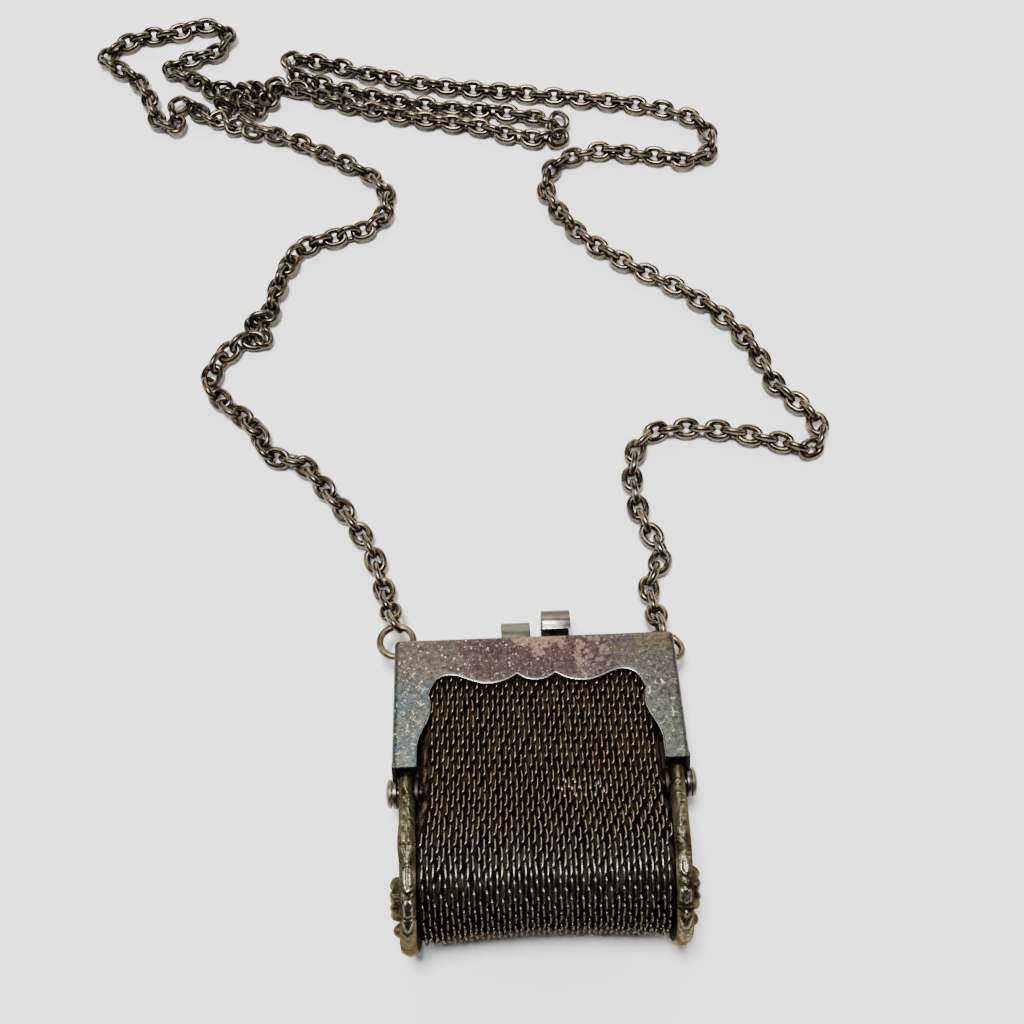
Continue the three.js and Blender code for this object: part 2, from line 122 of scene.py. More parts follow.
# Bare patches of the tarnished front band and its patch of round cells: left, right, low and high edge.
BARE_PATCHES = [(-3.6, 5.6, 25.2, 28), (-0.3, 1.1, 22.9, 25.4), (7.5, 8.8, 19.2, 26.2)]
CELL_PATCH = (8.8, 13, 20.4, 27.4)
CELL_TONE = (0.15, 0.105, 0.085)
PATCH_EDGE = 0.12
PATCH_STRAY = 1.6
PATCH_FRONT = (-1, 0.5)

# Tones of the other metals, the depth of their pits, and the colours they reflect at a glancing angle.
TAB_TONES = ((0.065, 0.063, 0.05), (0.125, 0.117, 0.092))
STEEL_TONES = ((0.165, 0.165, 0.162), (0.08, 0.075, 0.068))
# The top of the tall tab's roll is painted brown, a painted reflection of the table: where up the purse, and
# its tone.
STEEL_PAINTED_REFLECTION = Spec(y=(30.3, 31.6), tone=(0.062, 0.05, 0.039))
# Near-black painted shade for the back lugs, their spacers and the rivet tails between the plates.
PAINTED_SHADE_TONES = ((0.02, 0.016, 0.012), (0.05, 0.04, 0.03))
RIVET_TONES = ((0.22, 0.175, 0.108), (0.12, 0.093, 0.058))
EDGE_TONES = ((0.33, 0.345, 0.32), (0.17, 0.165, 0.14))
CAST_TONES = ((0.096, 0.081, 0.046), (0.054, 0.044, 0.024))
# Paler tone on the raised strokes and bosses: partly wear of the high points, partly a painted highlight.
CAST_WEAR_AND_HIGHLIGHT = (0.225, 0.212, 0.165)
CAST_TINT = (0.5, 0.46, 0.4)
CAST_PITS = 0.04
MESH_TONES = ((0.21, 0.152, 0.1), (0.14, 0.102, 0.066))
# Painted light down the bag: where each further tone starts and is full; a pale neutral painted highlight
# over the crest, a band of painted shade under the belly, then warm brown on the bottom.
MESH_PAINTED_LIGHT_ZONES = [
    (-5, -13, (0.2, 0.188, 0.166)),
    (-19, -22, (0.09, 0.074, 0.055)),
    (-23, -25, (0.13, 0.098, 0.066)),
]
MESH_TINT = (0.6, 0.53, 0.44)
# The standing loops are coloured paler than the mesh: a painted highlight.
PUCKER_PAINTED_HIGHLIGHT = ((0.4, 0.335, 0.25), (0.22, 0.175, 0.12))
# The sheet under the mesh's links is near-black: painted shade between the links.
CORE_PAINTED_SHADE = ((0.0025, 0.0019, 0.0012), (0.022, 0.015, 0.0085))
CORE_TINT = (0.15, 0.11, 0.07)
# The folded sides are near-black brown: painted shade in the gap beside the mesh.
GUSSET_PAINTED_SHADE = ((0.012, 0.008, 0.005), (0.07, 0.045, 0.026))
GUSSET_PITS = 0.2
CHAIN_TONES = ((0.136, 0.105, 0.066), (0.048, 0.036, 0.02))
CHAIN_DARK = Spec(x=(-18, -40), share=0.45, tone=(0.045, 0.035, 0.02))
RING_TONES = ((0.17, 0.127, 0.078), (0.095, 0.068, 0.04))
# Parts of the range of a noise, and the places of the two colours and the result on a colour mixer.
SOFT = (0.35, 0.65)
WIDE = (0.3, 0.7)
WHOLE = (0.2, 0.8)
MIX_SOCKETS = (6, 7)
MIX_RESULT = 2

# Hinge lugs, rivets and clasp tabs.
GAP = 0.3
PLATE_PLAY = 0.5
LUG_RADIUS = 2.6
LUG_EDGE = 0.75
LUG_ARC = (0.36 * pi, 2 * pi)
LUG_STEPS = 36
LUG_INSET = 0.1
FRONT_STRIP = 0.8
BACK_STRIP = 5
SPACER = Spec(length=3, depth=3.2, y=6.2, z=2.65)
BEVEL = 0.14
RIVET_HEAD = [(2.45, 0), (2.45, 0.34), (2.36, 0.48), (1.85, 0.74), (1.1, 0.87), (0, 0.92)]
RIVET_TAIL = [(0, -0.6), (1.2, -0.6), (1.42, -0.5), (1.5, -0.3), (1.5, 0)]
RIVET_RADIUS = 0.95
RIVET_STEPS = 40
TAB_WIDTH = 5.3
TAB_STEPS = 60
TAB_ROUND = 0.34
SHORT_TAB = Spec(x=-3.3, path=[(26.4, 3.2), (28.6, 3.3), (30.1, 2.7), (30.7, 1.4), (30.1, 0.3)])
TALL_TAB = Spec(
    x=-4.1,
    path=[(26.4, 3.6), (28.5, 3.2), (30.7, 2), (32.4, 0.1), (32.8, -1.7), (32, -3.4), (30.2, -4.1),
          (28.6, -3.6)],
)

# Side plates.
PLATE_THICKNESS = 2.2
PLATE_INNER = LEG_HALF - SHEET - PLATE_PLAY - PLATE_THICKNESS
BACK_LUG = PLATE_INNER - GAP
PLATE_TOE_IN = {"left": radians(1), "right": radians(3.5)}
PLATE_NECK = (1, 3.3)
PLATE_BELLY = (-16.2, 10.1)
PEAR_EASE = Spec(neck=0.3, belly=0.42, swell=0.6)
PEAR_STEPS = (60, 160, 90)
PLATE_DISH = 0.07
PLATE_AROUND = 560
PLATE_ACROSS = 40
RIM_STEPS = 22
RIM_OVER = 0.45
RIM_OVER_FROM = (6, 10)
RIM_FADE = 6
RIM_HALF = 1.3
STROKE_WIDTH = 0.28
STROKE_RISE = 1.5
RIM_ROUND = 0.55
RIM_SINK = 0.2
FULL_WEAR_AND_HIGHLIGHT = 0.12
FACE_WEAR_AND_HIGHLIGHT = 1.5
INNER_STEPS = 6
INNER_INSET = 0.25
INNER_FLARE = 0.6
# Relief of a plate's outer face over its floor.
FACE_RIM = Spec(height=0.8, fade=(1.5, 2))
FACE_BEADS = Spec(pitch=1.55, inset=2.55, radius=0.55, height=0.5, below=-3.5)
FACE_SWELL = Spec(y=-8.5, height=0.9, long=5, wide=3.4)
ROSETTE = Spec(y=-17.8, radius=3.8, fade=0.35, height=1.3, under=0.4)
PETALS = Spec(count=8, depth=0.2, at=2.45, radius=1.15, height=1.2)
ROSE_EYE = Spec(radius=1.25, height=1.3)
END_BEAD = Spec(y=-22.8, radius=1.4, height=2.1)
STEM = Spec(width=0.38, height=0.55, start=(3.4, 4.5), end=(13.6, 14.6))
LEAVES = Spec(pairs=5, first=-4.6, pitch=2, reach=1.7, growth=0.34, under=0.7)
LEAF = Spec(height=0.75, width=0.55, rise=1.5, tip=1.2, curl=1.5, round=0.6)
# Cast strokes of each rim: distance down from the neck and place across, at both ends, then the height.
RIM_STROKES = {
    "left": [
        (5.6, 0.3, 6.6, 0.1, 0.1), (6.9, 0, 7.7, -0.15, 0.11), (8.6, 0.35, 9.6, 0.2, 0.09),
        (9.2, -0.3, 10.4, -0.2, 0.09),
        (11.6, 0.45, 12.8, 0.3, 0.13), (11.3, -0.1, 13.2, -0.32, 0.13), (14.4, 0.58, 15.6, 0.42, 0.13),
        (15.1, 0.1, 16.7, 0.12, 0.14), (14.5, -0.2, 15.5, -0.42, 0.12), (17.3, 0.5, 18.6, 0.48, 0.17),
        (17.4, -0.12, 18.9, -0.2, 0.17), (19.4, -0.9, 19.4, 0.9, -0.09), (19.9, 0.58, 22.5, 0.08, 0.14),
        (19.9, -0.5, 22.5, 0, 0.14), (19.9, 0.05, 22, 0.05, 0.13), (23.3, 0, 23.3, -0.1, 0.19),
        (24, 0.4, 26.2, 0.38, 0.13), (24, -0.28, 26.2, -0.3, 0.13), (26.6, 0.32, 27.2, 0.08, 0.14),
        (27.2, 0.08, 26.9, -0.32, 0.14), (27.7, 0.6, 28.6, 0.62, 0.09), (27.7, -0.6, 28.6, -0.62, 0.09),
        (28.9, 0.32, 30.6, 0.25, 0.17), (28.9, -0.36, 30.6, -0.3, 0.17), (31.3, -0.9, 31.3, 0.9, -0.07),
        (31.6, 0.5, 33.1, 0.1, 0.14), (31.6, -0.5, 33.1, -0.1, 0.14), (33.7, 0.8, 34.5, 0, 0.05),
        (33.7, -0.8, 34.5, 0, 0.05), (35, 0.8, 35.8, 0, 0.05), (35, -0.8, 35.8, 0, 0.05),
        (36.3, 0.8, 37.1, 0, 0.05), (36.3, -0.8, 37.1, 0, 0.05), (38, -0.9, 38, 0.9, -0.1),
    ],
    "right": [
        (7.1, -0.2, 7.6, 0.2, 0.11), (7.6, 0.2, 8.2, -0.1, 0.11), (8.2, -0.1, 7.8, -0.5, 0.11),
        (7.8, -0.5, 7.1, -0.2, 0.11),
        (10.2, -0.2, 10.3, 0.7, 0.15), (10.3, -0.2, 12.6, -0.1, 0.15), (12.6, -0.1, 12, 0.6, 0.12),
        (13.4, 0.3, 14.6, 0.05, 0.12), (14.8, -0.05, 17.7, -0.15, 0.17), (15.6, 0.5, 16.8, 0.3, 0.11),
        (18.4, 0.3, 19.8, 0.1, 0.13), (18.6, -0.45, 19.6, -0.3, 0.11), (20.3, -0.4, 21.3, 0, 0.15),
        (21.3, 0, 22.6, 0.15, 0.15), (23.6, -0.5, 23.8, 0.6, 0.15), (24.2, -0.45, 25.6, -0.5, 0.13),
        (25.6, -0.5, 26.2, 0, 0.13), (24.2, 0.3, 25.8, 0.35, 0.12), (27.4, 0.1, 27.5, 0.1, 0.2),
        (28.5, 0, 30.2, 0.05, 0.17), (28.7, 0.5, 30, 0.45, 0.13), (28.7, -0.5, 30, -0.45, 0.11),
        (31.4, -0.9, 31.4, 0.9, -0.07), (32.1, 0.1, 32.5, 0.1, 0.19), (33.2, 0.6, 34.8, 0.2, 0.14),
        (33.2, -0.6, 34.8, -0.2, 0.14), (35.2, 0.7, 36.6, 0.3, 0.15), (35.2, -0.7, 36.6, -0.3, 0.15),
        (37, 0.6, 38.4, 0.2, 0.15), (37, -0.6, 38.4, -0.2, 0.15),
    ],
}

# Mesh bag.
MESH_MOUTH_Y = 25.2
MESH_MOUTH_HALF = 3.6
MESH_BELLY_RADIUS = 8.5
MESH_BELLY_Y = -15.8
MESH_FLARE = (4.1, -3, 7)
MESH_STEPS = (60, 90, 70)
MESH_ROW_ENDS = (0.6, 0.4)
MESH_HALF = {"left": 19.6, "right": 20.6}
MESH_WIDEN = (1.8, 3, 13)
MESH_SAG = 1.1
MESH_SAG_START = 2
MESH_DROP = 1.12
LINK_COLUMN = 1.77
LINK_COLUMNS = 12
LINK_ROW = 1.48
LINK_HALF = (1.26, 0.5)
LINK_SQUARE = 0.68
LINK_WIRE = 0.2
LINK_DEPTH = 0.7
LINK_EDGE = 0.5
LINK_STEPS = 18
LINK_SIDES = 6
CORE_DEPTH = 0.85
CORE_EDGE = 0.25
CORE_SPANS = 24
LINK_PITCH = radians(7)
LINK_LEAN = radians(12)
LINK_YAW = radians(1)
LINK_JITTER = radians(2.5)
LINK_STRAY = 0.05
LINK_HOOK = 0.16
LINK_HOOK_FADE = 6
LINK_FLATTEN = (-4, 4)
LINK_TURN_OVER = (14, 19)
LINK_UPTURN = 2.2
# Loops that stand up out of the mesh in a small pucker: place across and along the purse.
PUCKER = [
    (3.9, -0.4), (5.5, -0.4), (7.2, -0.1), (2.6, -1.5), (3.2, -1.9), (4.4, -1.5), (4.9, -1.9), (6.3, -1.7),
    (8, -1.7), (3.6, -3.2), (5.5, -3.2), (7.1, -3.2), (9.4, -1), (10.2, -2.4), (8.7, -3.2),
]
PUCKER_PITCH = radians(55)
PUCKER_JITTER = 3 * LINK_JITTER
PUCKER_DEPTH = 0.55
PUCKER_HALF = (0.72, 0.36)
PUCKER_WIRE = 0.22
GUSSET_SPAN = (-16, 25.5)
GUSSET_ROWS = 90
GUSSET_COLUMNS = 8
GUSSET_GAP = 0.1
GUSSET_FOLD = 0.5
GUSSET_RIPPLE = Spec(height=0.15, along=2.1, across=5)

# Jump rings.
RING_RADIUS = 3.2
RING_WIRE = 0.5
RING_LIFT = 2.4
RING_THICK = 0.66
RING_STEPS = 56
RING_SIDES = 14
RING_FINE_STEPS = 180
RING_FIT = {
    "left": Spec(top_hole_x=22, side_hole_y=24.6, turn=0),
    "right": Spec(top_hole_x=21.25, side_hole_y=22.35, turn=radians(28)),
}

# Neck chain: oval links along its route over the table, from the left ring to the right one.
CHAIN_LENGTH = 5.8
CHAIN_WIDTH = 4.5
CHAIN_WIRE = 0.68
CHAIN_PITCH = 3.2
CHAIN_AIM = 0.55
CHAIN_LIFT = 1.85
CHAIN_LEAN = radians(24)
CHAIN_SETTLE = 0.85
CHAIN_JITTER = radians(9)
CHAIN_TWIST = Spec(at=95, reach=80, turn=(radians(2), radians(28)))
CHAIN_SQUARE = 0.88
CHAIN_STEPS = 30
CHAIN_SIDES = 10
ROUTE_STEPS = 40
HEAP_TURN = radians(48)
HEAPS = [
    Spec(at=(-59.8, 164.8), reach=7.6, swing=3.9, wave=5),
    Spec(at=(-54.5, 100), reach=3.4, swing=2.7, wave=5.6),
    Spec(at=(10.8, 153.6), reach=3.5, swing=1.4, wave=4.6),
]
# Each half's route from its ring to where the halves meet, with a height where it's off the table.
LEFT_ROUTE = [
    (-25.9, 32.7, 5.8), (-26.5, 35.6, 3.8), (-27.7, 39.8, 2), (-30, 47.4), (-34.2, 54.8), (-39.5, 62),
    (-44.8, 68.3), (-50.9, 70.3), (-54.2, 76.7), (-60.3, 82.3), (-63.9, 87.3), (-61.2, 94.2), (-56, 98.5),
    (-52.5, 105.2), (-50.7, 112.4), (-46.7, 120.6), (-39.1, 123.8), (-31, 126.5), (-27.5, 132.8),
    (-29.8, 139.4), (-38.5, 145.6), (-47.8, 151.6), (-62.9, 157.9), (-70, 160.6), (-74.6, 164.5),
    (-77.6, 162), (-76.6, 157.2), (-80.4, 158.6), (-83.2, 165.5), (-87.6, 172.9), (-95, 178.7),
    (-89, 184.9), (-80.2, 186.6), (-69.8, 188.8), (-66.2, 184.8), (-69.2, 180.2), (-79.6, 176.3),
    (-73.1, 171.4), (-66.4, 167), (-61.4, 163.9), (-57.2, 166), (-51, 168), (-45.6, 165.9), (-40.2, 163.75),
]
RIGHT_ROUTE = [
    (23.2, 30.8, 4.6), (22.8, 34.6, 2.6), (22.5, 38.8), (24, 42.3), (25.9, 45.6), (22.9, 51.6), (21.4, 58.5),
    (21.5, 64.5), (23.6, 70.1), (28.2, 72.7), (38.6, 72.5), (51, 69.4), (57.5, 67.2), (60.1, 70.6),
    (58.3, 76.1), (53.4, 81.1), (49.8, 89.8), (44.7, 98.5), (35.4, 107.1), (24.7, 114.2), (16.9, 120.4),
    (11.1, 127.9), (8, 135.6), (9.9, 141.6), (17.9, 146), (30, 144.9), (40.8, 142.7), (45.8, 145.2),
    (46.3, 149.9), (42.6, 155.4), (33.6, 159), (15.3, 162.5), (-5.1, 165.5), (-25.5, 169.8), (-44.6, 176),
    (-50.6, 177), (-50.6, 173), (-37.6, 167.2), (-25.5, 163.1), (-12.2, 160.4), (4.2, 157.6), (10.4, 156),
    (12.2, 152.4), (8.6, 150.2), (2.6, 151), (-6.5, 154.5), (-22.2, 157.9), (-34.4, 161.5), (-39.85, 163.6),
]

# Camera, measured from the hinge centre on the table.
CAMERA_AT = (-6.94, -45.6, 214.2)
CAMERA_VIEW = (0.01728, 0.43015, -0.9026)
CAMERA_RIGHT = (0.9992, -0.0401, 0)
SENSOR = 36
LENS = 42.19
CAMERA_NEAR = 0.01

# Stage and lights, in metres from the middle of the table.
FLOOR_HALF = 3
FLOOR_TONE = (0.93, 0.925, 0.915)
FLOOR_ROUGH = 0.8
LIGHT_TARGET = (0.01, -0.03, 0)
LIGHTS = [
    Spec(name="key", at=(-0.1, -0.02, 1), size=0.3, power=24, tone=(0.97, 0.98, 1)),
    Spec(name="back", at=(0.1, 1.1, 0.58), size=1.15, power=15, tone=(1, 0.89, 0.76)),
    Spec(name="fill", at=(-0.9, 0.1, 0.5), size=0.5, power=4, tone=(0.86, 0.94, 1)),
    Spec(name="side", at=(0.9, 0.1, 0.5), size=0.4, power=2.5, tone=(1, 0.95, 0.88)),
]
SKY_TONE = (0.9, 0.9, 0.9, 1)
SKY_STRENGTH = 0.06


def hinge_centre():
    """The middle of the hinge axis in the row frame, in millimetres."""
    middles = [sum(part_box(node), Vector()) / 2 for node in ("rivet_left", "rivet_right")]
    return np.array((middles[0] + middles[1]) / 2) / MM


HINGE = hinge_centre()
TABLE = np.array((HINGE[0], HINGE[1], 0.0))


def unit(v):
    v = np.asarray(v, float)
    return v / np.linalg.norm(v, axis=-1, keepdims=True)


def circle(angle):
    """Points of the unit circle."""
    return np.stack([np.cos(angle), np.sin(angle)], -1)


def around(steps):
    """Even angles of a whole turn."""
    return np.linspace(0, 2 * pi, steps, endpoint=False)


def left_of(along):
    """Directions in a plane, turned a quarter to the left."""
    return np.stack([-along[:, 1], along[:, 0]], -1)


def mirrored(half, flip):
    """A line with its mirror image after it."""
    return np.vstack([half, half[-2::-1] * flip])


def arc_lengths(line):
    """The way along a line from its start to each of its points."""
    return np.concatenate([[0], np.cumsum(np.linalg.norm(np.diff(line, axis=0), axis=1))])


def sample(line, steps, s):
    """Values of a line at the ways s along it."""
    return np.stack([np.interp(s, steps, column) for column in line.T], -1)


def purse_to_row(points):
    """Points in the purse's axes, turned as the purse lies and moved to the hinge."""
    p = np.asarray(points, float)
    c, s = cos(LYING_TILT), sin(LYING_TILT)
    y = p[..., 1] * c + p[..., 2] * s
    z = p[..., 2] * c - p[..., 1] * s
    return np.stack([p[..., 0], y, z], -1) + HINGE


def add_object(name, data):
    obj = bpy.data.objects.new(name, data)
    bpy.context.scene.collection.objects.link(obj)
    return obj


def add_piece(name, points, faces, material, nodes=(), crease=CREASE):
    """A smooth-shaded mesh in the row frame from millimetre points, riding on the part."""
    mesh = bpy.data.meshes.new(name)
    mesh.from_pydata((points.reshape(-1, 3) * MM).tolist(), [], faces)
    mesh.validate()
    mesh.polygons.foreach_set("use_smooth", np.ones(len(mesh.polygons), bool))
    mesh.set_sharp_from_angle(angle=crease)
    mesh.materials.append(material)
    obj = add_object(name, mesh)
    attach(obj, BODY)
    if nodes:
        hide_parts(*nodes)
    return obj


def grid_faces(rows, columns, wrap_rows=False, wrap_columns=False):
    """Quads over a grid of points stored row by row."""
    last_row = rows if wrap_rows else rows - 1
    last_column = columns if wrap_columns else columns - 1
    i, j = np.meshgrid(np.arange(last_row), np.arange(last_column), indexing="ij")
    a = i * columns + j
    b = i * columns + (j + 1) % columns
    c = ((i + 1) % rows) * columns + (j + 1) % columns
    d = ((i + 1) % rows) * columns + j
    return np.stack([a, b, c, d], -1).reshape(-1, 4).tolist()


def capped(grid):
    """A tube from rows of points round it, closed at both ends."""
    rows, count = grid.shape[:2]
    faces = grid_faces(rows, count, wrap_columns=True)
    faces.append(list(range(count))[::-1])
    faces.append([(rows - 1) * count + k for k in range(count)])
    return grid.reshape(-1, 3), faces


def join(parts):
    """Joins several (points, faces) pairs into one."""
    points, faces, start = [], [], 0
    for p, f in parts:
        points.append(p)
        faces.extend([[start + k for k in face] for face in f])
        start += len(p)
    return np.concatenate(points), faces


def bezier(a, b, c, d, steps):
    """Points of a cubic curve, its start left out."""
    t = np.linspace(0, 1, steps + 1)[1:, None]
    a, b, c, d = (np.asarray(v, float) for v in (a, b, c, d))
    return a * (1 - t) ** 3 + 3 * b * (1 - t) ** 2 * t + 3 * c * (1 - t) * t**2 + d * t**3


def catmull(points, per_span):
    """A centripetal spline through the points, with per_span steps between each two."""
    p = np.asarray(points, float)
    p = np.vstack([2 * p[0] - p[1], p, 2 * p[-1] - p[-2]])
    out = []
    for k in range(1, len(p) - 2):
        p0, p1, p2, p3 = p[k - 1], p[k], p[k + 1], p[k + 2]
        d0, d1, d2 = (np.linalg.norm(b - a) ** 0.5 for a, b in ((p0, p1), (p1, p2), (p2, p3)))
        m1 = ((p1 - p0) / d0 - (p2 - p0) / (d0 + d1) + (p2 - p1) / d1) * d1
        m2 = ((p2 - p1) / d1 - (p3 - p1) / (d1 + d2) + (p3 - p2) / d2) * d1
        t = np.linspace(0, 1, per_span, endpoint=False)[:, None]
        c2 = -3 * p1 + 3 * p2 - 2 * m1 - m2
        c3 = 2 * p1 - 2 * p2 + m1 + m2
        out.append(p1 + m1 * t + c2 * t**2 + c3 * t**3)
    out.append(p[-2][None])
    return np.concatenate(out)


def smoothstep(x, low, high):
    t = np.clip((np.asarray(x, float) - low) / (high - low), 0, 1)
    return t * t * (3 - 2 * t)


def gauss(d, width):
    return np.exp(-((d / width) ** 2))


def dome(d):
    """Height of a unit dome over the square of the distance from its middle."""
    return np.sqrt(np.clip(1 - d, 0, 1))


# Frame halves
def outer_path():
    """The outer U of a frame half from the right foot to the left one, and its outward directions."""
    leg_steps = SHOULDER_STEPS + SCALLOP[0].steps + SCALLOP[1].steps
    half_steps = SHOULDER_STEPS + sum(s.steps for s in SCALLOP)
    top_steps = half_steps - leg_steps - CORNER_STEPS
    leg = np.linspace((LEG_HALF, LEG_END), (TOP_HALF, FRAME_TOP - CORNER), leg_steps + 1)
    round_out = circle(np.linspace(0, pi / 2, CORNER_STEPS + 1)[1:])
    corner = np.array([TOP_HALF - CORNER, FRAME_TOP - CORNER]) + CORNER * round_out
    top = np.linspace((TOP_HALF - CORNER, FRAME_TOP), (0, FRAME_TOP), top_steps + 1)[1:]
    path = np.vstack([leg, corner, top])
    out = np.vstack([np.tile([1.0, 0.0], (len(leg), 1)), round_out, np.tile([0.0, 1.0], (top_steps, 1))])
    return mirrored(path, FLIP_FIRST), mirrored(out, FLIP_FIRST)


def scallop_path():
    """The inner edge in step with the outer U, and its directions into the opening."""
    points = [np.linspace((LEG_INNER, LEG_END), SHOULDER, SHOULDER_STEPS + 1)]
    start = SHOULDER
    for part in SCALLOP:
        points.append(bezier(start, part.leave, part.arrive, part.end, part.steps))
        start = part.end
    path = mirrored(np.vstack(points), FLIP_FIRST)
    return path, left_of(unit(np.gradient(path, axis=0)))


def frame_sheet():
    """The bent sheet of a frame half: flange, rounded bend, face and scalloped edge, with its inside."""
    path, out = outer_path()
    edge, inward = scallop_path()
    turn = np.linspace(0, pi / 2, ARC_STEPS + 1)
    columns = []

    def column(xy, z):
        columns.append(np.column_stack([xy, np.full(len(xy), z)]))

    column(path - out * EDGE_BREAK, FRAME_EDGE)
    column(path, FRAME_EDGE + EDGE_BREAK)
    for t in turn:
        column(path - out * BEND * (1 - cos(t)), FRAME_DEPTH - BEND + BEND * sin(t))
    shoulder = path - out * BEND
    lip = edge - inward * EDGE_ROUND
    for k in range(1, FACE_STEPS):
        column(shoulder + (lip - shoulder) * k / FACE_STEPS, FRAME_DEPTH)
    for t in turn:
        rounded = lip + inward * EDGE_ROUND * sin(t)
        column(rounded, FRAME_DEPTH - EDGE_ROUND + EDGE_ROUND * cos(t))
    column(edge, FRAME_DEPTH - SHEET)
    inside = path - out * (SHEET + INNER_BEND)
    for k in range(1, FACE_STEPS + 1):
        column(edge + (inside - edge) * k / FACE_STEPS, FRAME_DEPTH - SHEET)
    column(path - out * SHEET, FRAME_DEPTH - SHEET - INNER_BEND)
    column(path - out * SHEET, FRAME_EDGE)
    return capped(np.stack(columns, 1))


def edge_bead(label, turn, material):
    """The polished edge of the opening, down one leg, along the scallop and down the other."""
    path, inward = scallop_path()
    angle = around(BEAD_SIDES)
    flat = path[:, None] - inward[:, None] * (BEAD_INSET - BEAD_RADIUS * np.cos(angle))[None, :, None]
    z = FRAME_DEPTH - BEAD_INSET + BEAD_RADIUS * np.sin(angle)
    grid = np.concatenate([flat, np.broadcast_to(z[None, :, None], (*flat.shape[:2], 1))], -1)
    points, faces = capped(grid)
    add_piece(label + "_edge", purse_to_row(points * turn), faces, material)


def bevelled_plate(outline, thickness):
    """A plate with rounded edges from a counter-clockwise outline, standing along its third axis."""
    o = np.asarray(outline, float)
    inward = left_of(unit(np.roll(o, -1, 0) - np.roll(o, 1, 0)))
    rows = []
    for t in np.linspace(0, pi / 2, ARC_STEPS):
        rows.append((o + inward * BEVEL * (1 - sin(t)), BEVEL * (1 - cos(t))))
    rows += [(xy, thickness - z) for xy, z in rows[::-1]]
    return capped(np.stack([np.column_stack([xy, np.full(len(o), z)]) for xy, z in rows]))


def standing(plate, inner, side):
    """A plate turned to stand across the purse on one side, from inner outwards."""
    points, faces = plate
    return np.column_stack([(inner + points[:, 2]) * side, points[:, 0], points[:, 1]]), faces


def lug(side, outer, strip):
    """A hinge lug: a round eye on the axis drawn out to the foot of its leg."""
    top, front = LEG_END + strip, FRAME_DEPTH - LUG_INSET
    eye = LUG_RADIUS * circle(np.linspace(*LUG_ARC, LUG_STEPS))
    outline = np.vstack([[(top, LUG_EDGE), (top, front), (LEG_END, front)], eye])
    return standing(bevelled_plate(outline, SHEET), outer - SHEET, side)


def tab(spec):
    """A rolled strip with rounded edges that follows its path in Y and Z."""
    path = catmull(spec.path, TAB_STEPS // (len(spec.path) - 1))
    normal = left_of(unit(np.gradient(path, axis=0)))
    radius = SHEET * TAB_ROUND
    half = np.array([TAB_WIDTH / 2, SHEET / 2]) - radius
    section = []
    for quarter, corner in enumerate([(1, 1), (-1, 1), (-1, -1), (1, -1)]):
        angle = quarter * pi / 2 + np.linspace(0, pi / 2, ARC_STEPS)
        section.append(half * np.array(corner) + radius * circle(angle))
    section = np.vstack(section)
    x = spec.x + np.tile(section[:, 0], (len(path), 1))
    yz = path[:, None, :] + normal[:, None, :] * section[None, :, 1:2]
    return capped(np.concatenate([x[..., None], yz], -1))


def spacer(side):
    """The block that carries an inner lug from its leg."""
    y, z = SPACER.length / 2, SPACER.depth / 2
    outline = np.array([(-y, -z), (y, -z), (y, z), (-y, z)]) + np.array([SPACER.y, SPACER.z])
    plate = bevelled_plate(outline, LEG_HALF - SHEET - BACK_LUG + 2 * BEVEL)
    return standing(plate, BACK_LUG - BEVEL, side)


def frame_half(label, spec, lug_outer, strip, flipped, looks):
    """One half of the frame: its sheet, its clasp tab and its pair of hinge lugs."""
    lugs = [lug(-1, lug_outer, strip), lug(1, lug_outer, strip)]
    if flipped:
        lugs += [spacer(-1), spacer(1)]
    turn = HALF_TURN if flipped else np.ones(3)
    node = label + "_frame"
    pieces = [
        (node + "_dressed", frame_sheet(), "sheet", (node,)),
        (label + "_tab", tab(spec), "tab", ()),
        (label + "_lugs", join(lugs), "lugs", ()),
    ]
    for name, (points, faces), look, nodes in pieces:
        add_piece(name, purse_to_row(points * turn), faces, looks[look], nodes)
    edge_bead(label, turn, looks["edge"])


# Hinge rivets
def rivet(name, side, material):
    """A rivet turned on the hinge axis, with a domed head outside and a flat tail inside."""
    head = LEG_HALF + GAP
    tail = BACK_LUG - SHEET - GAP
    profile = [(r, tail + x) for r, x in RIVET_TAIL] + [(RIVET_RADIUS, tail), (RIVET_RADIUS, head)]
    profile += [(r, head + x) for r, x in RIVET_HEAD]
    r, x = np.array(profile).T[:, :, None]
    angle = around(RIVET_STEPS)
    x = np.broadcast_to(x * side, (len(profile), RIVET_STEPS))
    grid = np.stack([x, r * np.cos(angle), r * np.sin(angle)], -1)
    faces = grid_faces(len(profile), RIVET_STEPS, wrap_columns=True)
    add_piece(name + "_dressed", purse_to_row(grid), faces, material, (name,))


# Side plates
def pear_outline():
    """The outline of a side plate, evenly stepped, from the neck round the front to the back."""
    (neck_y, neck), (belly_y, belly) = PLATE_NECK, PLATE_BELLY
    top_steps, side_steps, bottom_steps = PEAR_STEPS
    drop = neck_y - belly_y
    upper = (neck_y - drop * PEAR_EASE.neck, neck + PEAR_EASE.swell)
    lower = (belly_y + drop * PEAR_EASE.belly, belly)
    top = np.array([neck_y, 0.0]) + neck * circle(np.linspace(0, pi / 2, top_steps))
    side = bezier((neck_y, neck), upper, lower, (belly_y, belly), side_steps)
    angle = np.linspace(pi / 2, pi, bottom_steps)[1:]
    bottom = np.array([belly_y, 0.0]) + belly * circle(angle)
    dense = mirrored(np.vstack([top, side, bottom]), FLIP_SECOND)
    steps = arc_lengths(dense)
    s = np.linspace(0, steps[-1], PLATE_AROUND, endpoint=False)
    return sample(dense, steps, s), s, steps[-1]


